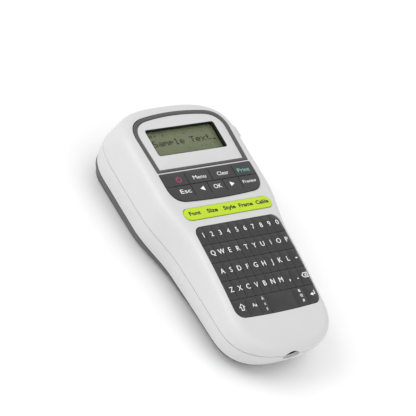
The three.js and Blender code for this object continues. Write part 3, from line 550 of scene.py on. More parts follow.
def lcd_glass():
    """Reflective twisted-nematic glass: olive, with the faint grid of cells that are switched off."""
    material, tree, principled, where = start_material("lcd_glass", 0.35)
    apart = add_node(tree, "ShaderNodeSeparateXYZ", links={"Vector": where})
    lines = {}
    for axis, pitch in (("X", DOT_PITCH_X), ("Y", DOT_PITCH_Y)):
        cells = add_node(tree, MATH, {"operation": "DIVIDE"}, {1: pitch * MM}, {0: apart.outputs[axis]})
        share = add_node(tree, MATH, {"operation": "FRACT"}, links={0: cells.outputs[0]})
        line = add_node(tree, MATH, {"operation": "LESS_THAN"}, {1: 0.16}, {0: share.outputs[0]})
        lines[len(lines)] = line.outputs[0]
    grid = add_node(tree, MATH, {"operation": "MAXIMUM"}, links=lines)
    cloud = add_node(tree, NOISE, None, {"Scale": 1 / (14 * MM), "Detail": 2.0}, {"Vector": where})
    mixed, olives = {"data_type": "RGBA"}, {6: colour("#656E4F"), 7: colour("#6D7657")}
    ground = add_node(tree, "ShaderNodeMix", mixed, olives, {0: cloud.outputs["Fac"]})
    pale = {7: colour("#727B5D")}
    cell = add_node(tree, "ShaderNodeMix", mixed, pale, {0: grid.outputs[0], 6: ground.outputs[2]})
    tree.links.new(cell.outputs[2], principled.inputs["Base Color"])
    return material


def clear_acrylic():
    """A clear lens: nearly nothing but its gloss, with the faint haze of fingers."""
    material, tree, principled, where = start_material("clear_acrylic", 0.08)
    haze = add_node(tree, NOISE, None, {"Scale": 1 / (9 * MM), "Detail": 3.0}, {"Vector": where})
    span = {"From Min": 0.3, "From Max": 0.7, "To Min": 0.02, "To Max": 0.05}
    veil = add_node(tree, "ShaderNodeMapRange", None, span, {"Value": haze.outputs["Fac"]})
    principled.inputs["Base Color"].default_value = colour("#1C201A")
    tree.links.new(veil.outputs["Result"], principled.inputs["Alpha"])
    return material


def circuit_board():
    """Green solder mask over a web of copper tracks about three millimetres apart."""
    material, tree, principled, where = start_material("solder_mask_green", 0.35)
    web = {"feature": "DISTANCE_TO_EDGE", "distance": "MANHATTAN"}
    tracks = add_node(tree, "ShaderNodeTexVoronoi", web, {"Scale": 1 / (3 * MM)}, {"Vector": where})
    edge = add_node(tree, MATH, {"operation": "LESS_THAN"}, {1: 0.08}, {0: tracks.outputs["Distance"]})
    greens = {6: colour("#23573A"), 7: colour("#4E8F63")}
    shade = add_node(tree, "ShaderNodeMix", {"data_type": "RGBA"}, greens, {0: edge.outputs[0]})
    depth = {"Strength": 0.5, "Distance": 0.05 * MM}
    relief = add_node(tree, "ShaderNodeBump", None, depth, {"Height": edge.outputs[0]})
    tree.links.new(shade.outputs[2], principled.inputs["Base Color"])
    tree.links.new(relief.outputs["Normal"], principled.inputs["Normal"])
    return material


DOT_PITCH_X, DOT_PITCH_Y = 0.827, 0.7

FINISHES = {
    # Satin ABS: soft wide highlights and an even, very light grey white.
    "white_abs": grain_surface("moulded_white_abs", "#CBCBCB", "#C7C7C7", 0.42, 0.3, 0.012),
    # Spark-eroded dark grey ABS: matt, with a grain that catches light at low angles.
    "cover_abs": grain_surface("textured_grey_abs", "#565656", "#4E4E4E", 0.55, 0.35, 0.04),
    # Painted bezel: smoother than the shells and a little glossy along its crown.
    "bezel_paint": grain_surface("painted_grey_bezel", "#4C4C4D", "#484849", 0.38, 0.5, 0.006),
    # Flat satin panel keys, a shade lighter than the letter keys.
    "panel_keys": grain_surface("coated_charcoal_rubber", "#333334", "#2F2F30", 0.5, 0.3, 0.01),
    # Matt silicone letter keys: dark, with a soft sheen where the caps curve away.
    "letter_keys": grain_surface("matt_charcoal_silicone", "#2C2C2D", "#272728", 0.4, 0.3, 0.012),
    # Lime silicone: strong yellow green with a satin skin.
    "lime_keys": grain_surface("lime_silicone", "#B9D41D", "#B2CD18", 0.45, 0.3, 0.01),
    # Pad-printed inks, thin and matt.
    "white_ink": grain_surface("white_pad_ink", "#F2F2F2", "#E6E6E6", 0.55, 0.2, 0.004),
    "pink_ink": grain_surface("magenta_pad_ink", "#C43A6B", "#B93463", 0.55, 0.2, 0.004),
    "teal_ink": grain_surface("teal_pad_ink", "#7FC8C0", "#74BDB5", 0.55, 0.2, 0.004),
    "dark_ink": grain_surface("dark_pad_ink", "#1B220A", "#161C07", 0.55, 0.2, 0.004),
    # Display pixels: dark olive when on, hardly darker than the glass when off.
    "lcd_on": grain_surface("lcd_pixel_on", "#0F120C", "#0B0E09", 0.4, 0.3, 0.002),
    "lcd_faint": grain_surface("lcd_pixel_faint", "#586146", "#545D42", 0.4, 0.3, 0.002),
    "lcd_glass": lcd_glass(),
    "lens": clear_acrylic(),
    # Black printed mask and foam round the glass: takes nearly all light.
    "mask": grain_surface("black_mask", "#0D0D0E", "#080809", 0.75, 0.3, 0.01),
    # Black ABS in the inlet: satin, nearly without colour.
    "black_abs": grain_surface("moulded_black_abs", "#242425", "#1E1E1F", 0.5, 0.3, 0.012),
    # Cassette shell: smoky polystyrene with a slight gloss.
    "smoke_ps": grain_surface("smoke_polystyrene", "#46494D", "#3F4246", 0.3, 0.6, 0.006),
    # Acetal gears: waxy, cream white.
    "acetal": grain_surface("moulded_acetal", "#EAE6DA", "#E2DED0", 0.42, 0.4, 0.006),
    # Ground nitrile rollers and the silicone mat: black and quite matt.
    "rubber": grain_surface("ground_nitrile_rubber", "#202022", "#19191B", 0.8, 0.2, 0.02),
    "mat": grain_surface("pressed_silicone_mat", "#343435", "#2E2E2F", 0.7, 0.4, 0.02),
    # Battery sleeves: glossy printed film.
    "sleeve": grain_surface("printed_blue_sleeve", "#2F6A8E", "#2A6084", 0.22, 0.8, 0.004),
    "sleeve_band": grain_surface("printed_copper_band", "#B06A38", "#A66132", 0.25, 0.8, 0.004, 0.6),
    # Label tape: smooth white film, wound tight.
    "tape": grain_surface("wound_white_tape", "#F0F0EC", "#E4E4DF", 0.35, 0.5, 0.01),
    "label": grain_surface("matt_paper_label", "#E9E9E6", "#DFDFDB", 0.75, 0.15, 0.01),
    "steel": brushed_metal("zinc_plated_steel", "#B4B7BA", "#9A9DA0", 0.33),
    "nickel": brushed_metal("nickel_spring_steel", "#C9C5BA", "#B0ACA0", 0.25),
    "brass": brushed_metal("machined_brass", "#CDB36C", "#B89B55", 0.35),
    "blade": brushed_metal("ground_blade_steel", "#C6CACE", "#AEB2B6", 0.22, 0.12, (1.0, 1.0, 0.02)),
    "ceramic": grain_surface("print_head_ceramic", "#8F8472", "#847A69", 0.35, 0.4, 0.01),
    "board": circuit_board(),
}


def belongs(obj, body, nodes=()):
    """The piece rides on its body and stands for its CAD nodes."""
    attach(obj, body)
    if nodes:
        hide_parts(*nodes)
    return obj


# ---------------------------------------------------------------- shells

def parting(offset):
    return lambda y: face_height(parting_height(y) + offset, y)


def round_start(y, wall):
    """The angle at which the shoulder's round meets the parting line: above zero where the body is low."""
    room = face_drop(y) - parting(GAP / 2 + LIP)(y) - wall
    return math.asin(min(1.0, max(0.0, 1 - room / (SHOULDER - wall))))


def shoulder_level(share, wall, height=None):
    """A loop share of the way up the quarter round from the side to the face, or under it at a height."""
    radius = SHOULDER - wall

    def angle(y):
        start = round_start(y, wall)
        return start + (math.pi / 2 - start) * share

    def round_height(y):
        return face_drop(y) - wall - radius * (1 - math.sin(angle(y)))

    return level(lambda y: wall + radius * (1 - math.cos(angle(y))), height or round_height)


LEVER_WINDOW = {"x": (43.6, 60.3), "y": (103.6, 118.4), "z": (32.2, 52.0)}
INLET = {"x": -2.0, "z": 26.0, "width": 11.0, "height": 7.2, "depth": 9.0, "setback": 5.0, "bore": 2.6,
         "pin": 0.8}
GRIP_WALL_Y = lying(0, GRIP_END, face_height(INLET["z"], GRIP_END)).y


def lever_window_tool():
    return box_tool(LEVER_WINDOW["x"], LEVER_WINDOW["y"], LEVER_WINDOW["z"])


def inlet_scoop_tool():
    """The oval hollow that lets a plug in."""
    half_x, half_y, half_z = INLET["width"] / 2 + 1.4, INLET["setback"] + 0.8, INLET["height"] / 2 + 1
    rings, sides = 24, 48
    loops = []
    for k in range(1, rings):
        a = math.pi * k / rings
        loops.append([
            place(
                INLET["x"] + half_x * math.sin(a) * math.cos(b),
                GRIP_WALL_Y - half_y * math.cos(a),
                INLET["z"] + 0.6 + half_z * math.sin(a) * math.sin(b),
            )
            for b in (2 * math.pi * i / sides for i in range(sides))
        ])
    ends = [place(INLET["x"], GRIP_WALL_Y + half_y * side, INLET["z"] + 0.6) for side in (-1, 1)]
    return stack("tool", loops, middles=ends)


def inlet_pocket_tool():
    x, z, half, high = INLET["x"], INLET["z"], INLET["width"] / 2 + GAP, INLET["height"] / 2 + GAP
    start = GRIP_WALL_Y + INLET["setback"] - GAP
    return box_tool((x - half, x + half), (start, start + INLET["depth"] + 2 * GAP), (z - high, z + high))


SCREWS = ((-20.0, -50.4, 16.8), (20.0, -50.4, 16.8), (-45.0, 68.0, 22.8), (45.0, 68.0, 22.8))


def front_housing():
    lip = level(lambda y: SHOULDER * (1 - math.cos(round_start(y, 0))) + LIP, parting(GAP / 2))
    outer = [lip, shoulder_level(0, 0, parting(GAP / 2 + LIP))]
    outer += [shoulder_level(i / 14, 0) for i in range(15)]
    inner = [shoulder_level(0, WALL, parting(GAP / 2))]
    inner += [shoulder_level(i / 5, WALL) for i in range(6)]
    shell = body_shell("front_housing_shell", outer, inner, FINISHES["white_abs"])
    openings = [
        face_tool(field(KEYPAD, GAP), -14, 5),
        face_tool(bar_outline(GAP), -14, 5),
        face_tool(field(PANEL, GAP), -14, 5),
        face_tool(display_outline(-GAP, -GAP, -GAP), -14, 5),
        lever_window_tool(),
        inlet_scoop_tool(),
        inlet_pocket_tool(),
    ]
    return belongs(carve(shell, openings), "chassis", ["front_housing"])


BATTERY = {"radius": 5.25, "length": 44.5, "pitch": 10.9, "z": 10.9, "start": -37.0, "count": 6}
BAY_HALF = BATTERY["count"] * BATTERY["pitch"] / 2 + 0.9
BAY_LOW, BAY_HIGH = BATTERY["start"] - 2.9, BATTERY["start"] + BATTERY["length"] + 2.9
GRIP_PLATE, HEAD_PLATE, PLATE_STEP_Y = (16.8, 18.4), (22.8, 24.4), 14.0
CASSETTE = {"left": -40.1, "right": 14.0, "bottom": 75.0, "top": 121.0, "low": 5.4, "high": 22.0}
EXIT_SLOT = ((16.7, 21.7), (HEAD_END - 12, HEAD_END + 20), (7.0, 21.0))


def band_inset(height, y):
    """How far the lower band has drawn in at a height: it curls under to the seam, less so at the head."""
    low, high = seam_height(y), parting_height(y)
    t = min(1.0, max(0.0, (height - low) / (high - low)))
    curl = min(1.0, max(0.5, (115 - y) / 40))
    return seam_inset(y) * (1 - t - curl * (math.sin(math.pi / 2 * t) - t))


def band_level(share, wall, lip=0.0):
    """A loop of the lower band, share of the way from the cover's seam to the parting line."""
    def height(y):
        low, high = seam_height(y) + GAP / 2, parting_height(y) - GAP / 2
        return low + (high - low) * share

    return level(lambda y: band_inset(height(y), y) + wall + lip, lambda y: face_height(height(y), y))


def plate(span, ys):
    """A flat inner wall of the rear housing, kept inside the band."""
    sheet = body_solid("plate", [
        level(lambda y, h=h: band_inset(h, y) + WALL / 2, lambda y, h=h: face_height(h, y)) for h in span
    ])
    return carve(sheet, [box_tool((-60, 60), ys, (span[0] - 1, span[1] + 1))], "INTERSECT")


def rear_housing():
    shares = (0.0, 0.015, 0.1, 0.25, 0.45, 0.7, 0.985, 1.0)
    outer = [band_level(s, 0.0, LIP if s in (0.0, 1.0) else 0.0) for s in shares]
    inner = [band_level(s, WALL) for s in shares]
    band = body_shell("rear_housing_shell", outer, inner, FINISHES["white_abs"], open_ends=True)
    bay = carve(
        box_tool((-BAY_HALF - 1.2, BAY_HALF + 1.2), (BAY_LOW - 1.2, BAY_HIGH + 1.2), (11.5, GRIP_PLATE[1])),
        [box_tool((-BAY_HALF, BAY_HALF), (BAY_LOW, BAY_HIGH), (10, GRIP_PLATE[0]))],
    )
    step = box_tool((-44, 44), (PLATE_STEP_Y, PLATE_STEP_Y + WALL), (GRIP_PLATE[0], HEAD_PLATE[1]))
    well_edge = box_tool(
        (CASSETTE["left"], CASSETTE["right"]),
        (CASSETTE["bottom"] - 1.8, CASSETTE["bottom"] - 0.6),
        (CASSETTE["low"] + 2, HEAD_PLATE[1]),
    )
    arm_post = bar_tool(*ARM_PIVOT, 1.5, 5.6, HEAD_PLATE[0] + 0.3)
    lever_post = bar_tool(*LEVER_PIVOT, 2.0, HEAD_PLATE[1] - 0.3, 42.0)
    idler_post = bar_tool(*IDLER, 1.5, HEAD_PLATE[1] - 0.3, 29.4)
    ribs = [
        box_tool((x - 0.5, x + 0.5), (BAY_LOW + 0.2, BAY_HIGH - 0.2), (15.2, GRIP_PLATE[0] + 0.3))
        for x in (BATTERY["pitch"] * (i - 2) for i in range(BATTERY["count"] - 1))
    ]
    plates = [
        plate(GRIP_PLATE, (GRIP_END - 10, PLATE_STEP_Y + WALL)),
        plate(HEAD_PLATE, (PLATE_STEP_Y, HEAD_END + 20)),
    ]
    carve(band, plates + [bay, step, well_edge, arm_post, lever_post, idler_post] + ribs, "UNION")
    screw_holes = [bar_tool(x, y, 1.65, low - 1, low + 3, 24) for x, y, low in SCREWS]
    across = (HEAD_PLATE[0] - 1, HEAD_PLATE[1] + 1)
    shaft_holes = [bar_tool(*centre, 2.4, *across, 24) for centre in (RIBBON_SHAFT, MOTOR)]
    for name, radius in (("platen_roller", 4.4), ("feed_roller", 3.0)):
        x, y = ROLLERS[name]
        shaft_holes.append(bar_tool(x + ROLLER_PLAY, y, radius, *across, 24))
    blade_slot = box_tool((8.6, 32.2), (126.4, 135.4), across)
    holes = screw_holes + shaft_holes + [blade_slot, box_tool(*EXIT_SLOT), lever_window_tool()]
    carve(band, holes + [inlet_scoop_tool(), inlet_pocket_tool()])
    return belongs(band, "chassis", ["rear_housing"])


def cover_levels(wall, steps):
    """The back cover from its flat up to the seam: a soft floor curve, then a flank that stands up."""
    levels = []
    for i in range(steps + 1):
        share = 1 - i / steps
        levels.append(level(
            lambda y, s=share: edge_inset(y) + (flat_inset(y) - edge_inset(y)) * s + wall,
            lambda y, s=share: face_height(edge_height(y) * (1 - s) ** 2 * (1 + s * 0.4) + wall, y),
        ))
    top_offset = -GAP / 2
    for i in range(1, steps + 1):
        t = i / steps
        a, b, c = (1 - t) ** 2, 2 * t * (1 - t), t * t

        def inset(y, a=a, b=b, c=c):
            pull = (edge_inset(y) + seam_inset(y)) / 2 - 2 * FLANK_SWELL
            return a * edge_inset(y) + b * pull + c * seam_inset(y) + wall

        def height(y, a=a, b=b, c=c, t=t):
            low, high = edge_height(y) + wall * (1 - t), seam_height(y) + top_offset
            return face_height(a * low + b * (low + high) / 2 + c * high, y)

        levels.append(level(inset, height))
    return levels


def back_cover():
    outer, inner = cover_levels(0.0, 8), cover_levels(COVER_WALL, 4)
    shell = body_shell("back_cover_shell", outer[::-1], inner[::-1], FINISHES["cover_abs"])
    grooves = [box_tool((-14, 14), (y, y + 1.1), (-1, 0.5)) for y in (102 + 2.4 * i for i in range(6))]
    latch = [
        box_tool((-17, 17), (98.2, 98.7), (-1, 0.4)),
        box_tool((-17.5, -17), (98.2, 117), (-1, 0.4)),
        box_tool((17, 17.5), (98.2, 117), (-1, 0.4)),
    ]
    carve(shell, [box_tool(*EXIT_SLOT)] + grooves + latch)
    return belongs(shell, "back_cover", ["back_cover"])


# ---------------------------------------------------------------- display

def display_ring():
    """The bezel: a band with a softly crowned face."""
    profile = [(0, -2.4), (0, -0.1), (0.03, 0.08), (0.1, 0.22), (0.25, 0.34), (0.5, 0.4)]
    profile += [(1 - u, z) for u, z in reversed(profile[:-1])]
    outer, inner = display_outline(), display_outline(RIM_SIDE, RIM_TOP, RIM_BOTTOM)
    loops = []
    for u, z in profile:
        across = [Vector(a).lerp(Vector(b), u) for a, b in zip(outer, inner)]
        loops.append(laid(across, z))
    made = ring("display_bezel", loops, FINISHES["bezel_paint"])
    return belongs(made, "chassis", ["display_frame"])


def display_panel():
    def outline(inward):
        return display_outline(RIM_SIDE + GAP + inward, RIM_TOP + GAP + inward, RIM_BOTTOM + GAP + inward)

    loops = [laid(outline(inward), z) for inward, z in ((0, -1.8), (0, -0.2), (0.06, -0.06), (0.2, 0))]
    middles = [on_face(0, 107, -1.8), on_face(0, 107, 0)]
    panel = stack("display_panel", loops, FINISHES["white_abs"], middles)
    carve(panel, [face_tool(window_outline(0.45), -5, 5)])
    return belongs(panel, "chassis", ["display_plate"])


def window_sleeve():
    """The black sleeve that lines the window from the panel's face down to the glass."""
    steps = ((0.4, -0.35), (0.25, -0.05), (0.1, -0.05), (0.0, -0.3), (0.0, -2.15), (0.4, -2.15))
    loops = [laid(window_outline(grow), z) for grow, z in steps]
    return belongs(ring("window_sleeve", loops, FINISHES["mask"]), "chassis")


def lcd_gasket():
    """The black foam frame between lens and glass."""
    shape = ((1.1, -LCD_DEPTH + 0.02), (0.0, -LCD_DEPTH + 0.02), (0.0, -3.22), (1.1, -3.22))
    loops = [laid(window_outline(grow), z) for grow, z in shape]
    return belongs(ring("lcd_gasket", loops, FINISHES["mask"]), "chassis")


def display_lens():
    loops = [laid(window_outline(1.2), z) for z in (-3.2, -2.2)]
    middle = [on_face(WINDOW["x"], 107, z) for z in (-3.2, -2.2)]
    lens = stack("display_lens_clear", loops, FINISHES["lens"], middle)
    return belongs(lens, "chassis", ["display_lens"])


def lcd_panel():
    outlines = [divided(rounded_box(-35 + d, 34 - d, 92.5 + d, 121.5 - d, 1), 6) for d in (0, 0, 0.15)]
    loops = [laid(o, z) for o, z in zip(outlines, (-LCD_DEPTH - 3, -LCD_DEPTH - 0.15, -LCD_DEPTH))]
    middles = [on_face(-0.5, 107, z) for z in (-LCD_DEPTH - 3, -LCD_DEPTH)]
    glass = stack("lcd_panel", loops, FINISHES["lcd_glass"], middles)
    return belongs(glass, "chassis", ["lcd_module"])


GLYPHS = {
    "S": (".###.", "#....", "#....", ".###.", "....#", "....#", "####."),
    "a": (".....", ".....", ".###.", "....#", ".####", "#...#", ".####"),
    "m": (".....", ".....", "##.#.", "#.#.#", "#.#.#", "#...#", "#...#"),
    "p": (".....", ".....", "####.", "#...#", "####.", "#....", "#...."),
    "l": (".##..", "..#..", "..#..", "..#..", "..#..", "..#..", ".###."),
    "e": (".....", ".....", ".###.", "#...#", "#####", "#....", ".###."),
    "T": ("#####", "..#..", "..#..", "..#..", "..#..", "..#..", "..#.."),
    "x": (".....", ".....", "#...#", ".#.#.", "..#..", ".#.#.", "#...#"),
    "t": (".#...", ".#...", "###..", ".#...", ".#...", ".#..#", "..##."),
    "_": (".....", ".....", ".....", ".....", ".....", ".....", "####."),
}
DOT = (0.82, 0.693)
TEXT_LEFT, TEXT_TOP = -28.7, 109.9
CHARACTER_PITCH = 4.96


def dots(name, corners, size, material):
    """Switched display dots: thin tiles lying on the glass, each at its lower left corner."""
    vertices, faces = [], []
    low, high = -LCD_DEPTH + 0.02, -LCD_DEPTH + 0.1
    for x, y in corners:
        start = len(vertices)
        xs, ys = (x, x + size[0]), (y, y + size[1])
        vertices += [on_face(x, y, z) for z in (low, high) for y in ys for x in xs]
        faces += [tuple(start + i for i in side) for side in BOX_SIDES]
    return belongs(new_object(name, vertices, faces, material), "chassis")


def display_text():
    corners = []
    for place_in_line, letter in enumerate("Sample Text_"):
        for row, bits in enumerate(GLYPHS.get(letter, ())):
            for column, bit in enumerate(bits):
                if bit == "#":
                    x = TEXT_LEFT + place_in_line * CHARACTER_PITCH + column * DOT_PITCH_X
                    corners.append((x, TEXT_TOP - (row + 1) * DOT_PITCH_Y))
    dots("lcd_characters", corners, DOT, FINISHES["lcd_on"])
    marks = [(x, 113.1 + rise) for x in (-28.0, -26.6, -23.4, -16.4) for rise in (0, 0.9)]
    marks += [(x, 100.9) for x in (13.2, 17.0, 20.8)] + [(25.2, 101.9)]
    dots("lcd_indicators", marks, (0.9, 0.62), FINISHES["lcd_on"])
    faint = [(x, 113.0) for x in (-6.5, -5.0, 2.0, 3.5, 10.5, 12.0, 19.0, 20.5)]
    faint += [(x, 100.4) for x in (0, 1.6)]
    dots("lcd_idle_indicators", faint, (1.0, 0.7), FINISHES["lcd_faint"])


# ---------------------------------------------------------------- keys

def pillow(name, outline, material, top_edge, crown, base=-KEY_DEPTH, edge=0.35):
    """A key cap: upright sides, a rounded rim and a top that swells towards its middle."""
    points = divided(outline, 2.5)
    middle = (sum(x for x, _ in points) / len(points), sum(y for _, y in points) / len(points))

    def shrunk(loop, share):
        return [(x + (middle[0] - x) * share, y + (middle[1] - y) * share) for x, y in loop]

    rim = inset_loop(points, edge)
    eased = inset_loop(points, edge * 0.3)
    loops = [laid(points, base), laid(points, top_edge - edge), laid(eased, top_edge - edge * 0.3)]
    loops.append(laid(rim, top_edge))
    for share in (0.12, 0.3, 0.5, 0.75):
        loops.append(laid(shrunk(rim, share), top_edge + (crown - top_edge) * (1 - (1 - share) ** 2)))
    middles = [on_face(*middle, base), on_face(*middle, crown)]
    return stack(name, loops, material, middles, sharp=50)


def slab(name, outline, material, edge=0.3):
    """A whole key field in one flat piece with a rounded rim, to be parted into keys."""
    points = divided(outline, 2.5)
    steps = [(0, -KEY_DEPTH), (0, KEY_RISE - edge), (0.3 * edge, KEY_RISE - 0.3 * edge), (edge, KEY_RISE)]
    loops = [laid(inset_loop(points, inward), z) for inward, z in steps]
    low, high = min(y for _, y in points), max(y for _, y in points)
    middles = [on_face(0, (low + high) / 2, -KEY_DEPTH), on_face(0, (low + high) / 2, KEY_RISE)]
    return stack(name, loops, material, middles)


def face_block(x0, x1, y0, y1, low, high):
    return face_tool([(x0, y0), (x1, y0), (x1, y1), (x0, y1)], low, high)


HAIRLINE, ROW_GAP = 0.1, 0.3
PANEL_SPLIT = 69.5
UPPER_KEYS = ("key_power", "key_menu", "key_clear", "key_print")
LOWER_KEYS = ("key_escape", "key_left", "key_ok", "key_right", "key_preview")
UPPER_SPLITS, LOWER_SPLITS = (-20.9, 0.9, 23.0), (-21.1, -6.0, 8.3, 23.2)
GROOVE = {"half": 0.3, "floor": KEY_RISE - 0.5}


def panel_grooves():
    """The short grooves pressed between the panel's keys, clear of its edges."""
    half, floor = GROOVE["half"], GROOVE["floor"]
    across = [face_block(-35.9, 36.2, PANEL_SPLIT - half, PANEL_SPLIT + half, floor, 3)]
    upper = [face_block(x - half, x + half, PANEL_SPLIT + 0.6, 78.4, floor, 3) for x in UPPER_SPLITS]
    lower = [face_block(x - half, x + half, 60.0, PANEL_SPLIT - 0.6, floor, 3) for x in LOWER_SPLITS]
    return across + upper + lower


def copy_of(obj, name):
    twin = bpy.data.objects.new(name, obj.data.copy())
    bpy.context.scene.collection.objects.link(twin)
    return twin


def panel_keys():
    whole = carve(slab("panel", field(PANEL), FINISHES["panel_keys"]), panel_grooves())
    gap, row_gap = HAIRLINE / 2, ROW_GAP / 2
    rows = (
        (PANEL_SPLIT + row_gap, 85, UPPER_SPLITS, UPPER_KEYS),
        (50, PANEL_SPLIT - row_gap, LOWER_SPLITS, LOWER_KEYS),
    )
    for low, high, splits, names in rows:
        edges = (-60, *splits, 60)
        for name, x0, x1 in zip(names, edges, edges[1:]):
            cap = copy_of(whole, name + "_cap")
            carve(cap, [face_block(x0 + gap, x1 - gap, low, high, -5, 5)], "INTERSECT")
            belongs(cap, name, [name])
    bpy.data.objects.remove(whole)


STYLE_KEYS = ("key_font", "key_size", "key_style", "key_frame", "key_cable")
STYLE_EDGES = (-60, -23.2, -7.3, 8.4, 23.8, 60)


def style_keys():
    whole = slab("bar", bar_outline(), FINISHES["lime_keys"], edge=0.45)
    for name, x0, x1 in zip(STYLE_KEYS, STYLE_EDGES, STYLE_EDGES[1:]):
        cap = copy_of(whole, name + "_cap")
        carve(cap, [face_block(x0 + HAIRLINE / 2, x1 - HAIRLINE / 2, 38, 54, -5, 5)], "INTERSECT")
        belongs(cap, name, [name])
    bpy.data.objects.remove(whole)


LETTER_ROWS = ("key_row_numbers", "key_row_upper", "key_row_home", "key_row_lower")
LOWEST_ROW = ("key_shift", "key_case", "key_accent", "key_space", "key_symbol", "key_enter")
LOWEST_EDGES = (-38.8, -27.2, -16.4, -7.6, 17.2, 28.2, 38.8)
CAP_GAP = 0.16
CAP_EDGE, CAP_CROWN = -0.35, KEY_RISE
WEB_INSET = 0.12


def letter_cap(name, x0, x1, y0, y1, base=-KEY_DEPTH):
    half = CAP_GAP / 2
    cell = clip(field(KEYPAD), x0 + half, x1 - half, y0 + half, y1 - half)
    return pillow(name, round_corners(cell, 0.5), FINISHES["letter_keys"], CAP_EDGE, CAP_CROWN, base, 0.25)


def letter_keys():
    for row, name in enumerate(LETTER_ROWS):
        y1, y0 = ROW_EDGES[row], ROW_EDGES[row + 1]
        inner = field(KEYPAD, -WEB_INSET)
        web_outline = clip(inner, -60, 60, y0 + CAP_GAP / 2 + WEB_INSET, y1 - CAP_GAP / 2 - WEB_INSET)
        loops = [laid(divided(web_outline, 3), z) for z in (-KEY_DEPTH, -KEY_DEPTH + 0.9)]
        web = stack("web", loops, FINISHES["letter_keys"])
        web.name = name + "_caps"
        edges = [(i - KEY_COLUMNS / 2) * KEY_PITCH for i in range(KEY_COLUMNS + 1)]
        edges[0], edges[-1] = -60, 60
        top, base = (y1 if row else 60), -KEY_DEPTH + 0.4
        caps = [letter_cap("tool", x0, x1, y0, top, base) for x0, x1 in zip(edges, edges[1:])]
        carve(web, caps, "UNION", sharp=50)
        belongs(web, name, [name])
    for name, x0, x1 in zip(LOWEST_ROW, LOWEST_EDGES, LOWEST_EDGES[1:]):
        cap = letter_cap(name + "_cap", x0, x1, -60, ROW_EDGES[4])
        belongs(cap, name, [name])


# ---------------------------------------------------------------- legends

INK_TOP, INK_FOOT = KEY_RISE + 0.03, KEY_RISE - 0.45


def text_outline(text, weight=0.0):
    """A word as flat mesh data at size one, with its points and faces."""
    curve = bpy.data.curves.new("word", "FONT")
    curve.body = text
    curve.resolution_u = 3
    curve.extrude = 0.5
    curve.offset = weight
    obj = bpy.data.objects.new("word", curve)
    bpy.context.scene.collection.objects.link(obj)
    bpy.context.view_layer.update()
    mesh = bpy.data.meshes.new_from_object(obj.evaluated_get(bpy.context.evaluated_depsgraph_get()))
    points = [tuple(v.co) for v in mesh.vertices]
    faces = [tuple(p.vertices) for p in mesh.polygons]
    bpy.data.objects.remove(obj)
    bpy.data.curves.remove(curve)
    bpy.data.meshes.remove(mesh)
    return points, faces


CAPITAL_SHARE = max(p[1] for p in text_outline("H")[0])


def word(text, x, y, capital, width=None, weight=0.0):
    """A legend centred on (x, y) with capitals of the given height, as raised ink."""
    points, faces = text_outline(text, weight)
    scale = capital / CAPITAL_SHARE
    left, right = min(p[0] for p in points), max(p[0] for p in points)
    squeeze = width / ((right - left) * scale) if width else 1.0
    middle = (left + right) / 2
    wide, foot = scale * squeeze, y - capital / 2
    placed = [
        (x + (px - middle) * wide, foot + py * scale, INK_TOP if pz > 0 else INK_FOOT)
        for px, py, pz in points
    ]
    return placed, faces


def filled(points):
    """A flat shape of ink from its outline."""
    count = len(points)
    placed = [(x, y, z) for z in (INK_FOOT, INK_TOP) for x, y in points]
    faces = [tuple(range(count)), tuple(range(count, 2 * count))]
    faces += [(i, (i + 1) % count, count + (i + 1) % count, count + i) for i in range(count)]
    return placed, faces


def stroke(points, width, closed=False):
    """A line of ink of one width along the points."""
    count = len(points)
    sides = []
    for i, p in enumerate(points):
        before = Vector(points[i - 1]) if i or closed else None
        after = Vector(points[(i + 1) % count]) if i + 1 < count or closed else None
        here = Vector(p)
        a = (here - before).normalized() if before else (after - here).normalized()
        b = (after - here).normalized() if after else a
        normal = Vector((-(a.y + b.y), a.x + b.x)).normalized()
        reach = width / 2 / max(0.5, normal.dot(Vector((-a.y, a.x))))
        sides.append((here + normal * reach, here - normal * reach))
    placed = [(q.x, q.y, z) for z in (INK_FOOT, INK_TOP) for pair in sides for q in pair]
    faces = []
    for i in range(count if closed else count - 1):
        a, b, c, d = 2 * i, 2 * i + 1, 2 * ((i + 1) % count) + 1, 2 * ((i + 1) % count)
        lift = 2 * count
        faces += [(a, b, c, d), (a + lift, b + lift, c + lift, d + lift)]
        faces += [(a, d, d + lift, a + lift), (b, c, c + lift, b + lift)]
    if not closed:
        for i in (0, count - 1):
            faces.append((2 * i, 2 * i + 1, 2 * i + 1 + 2 * count, 2 * i + 2 * count))
    return placed, faces


def print_legend(name, body, ink, marks):
    """Joins marks into one printed piece on the key of that body."""
    vertices, faces = [], []
    for points, sides in marks:
        start = len(vertices)
        vertices += [on_face(x, y, z) for x, y, z in points]
        faces += [tuple(start + i for i in side) for side in sides]
    return belongs(new_object(name, vertices, faces, FINISHES[ink]), body)


def triangle(x, y, half, direction):
    """A solid arrowhead pointing left (-1) or right (1)."""
    tip, tail = x + direction * half, x - direction * half
    return filled([(tip, y), (tail, y + half), (tail, y - half)])


def power_mark(x, y, radius):
    circle = stroke(arc(x, y, radius, 125, 415, 30), 0.55)
    return [circle, stroke([(x, y + radius * 0.25), (x, y + radius * 1.35)], 0.55)]


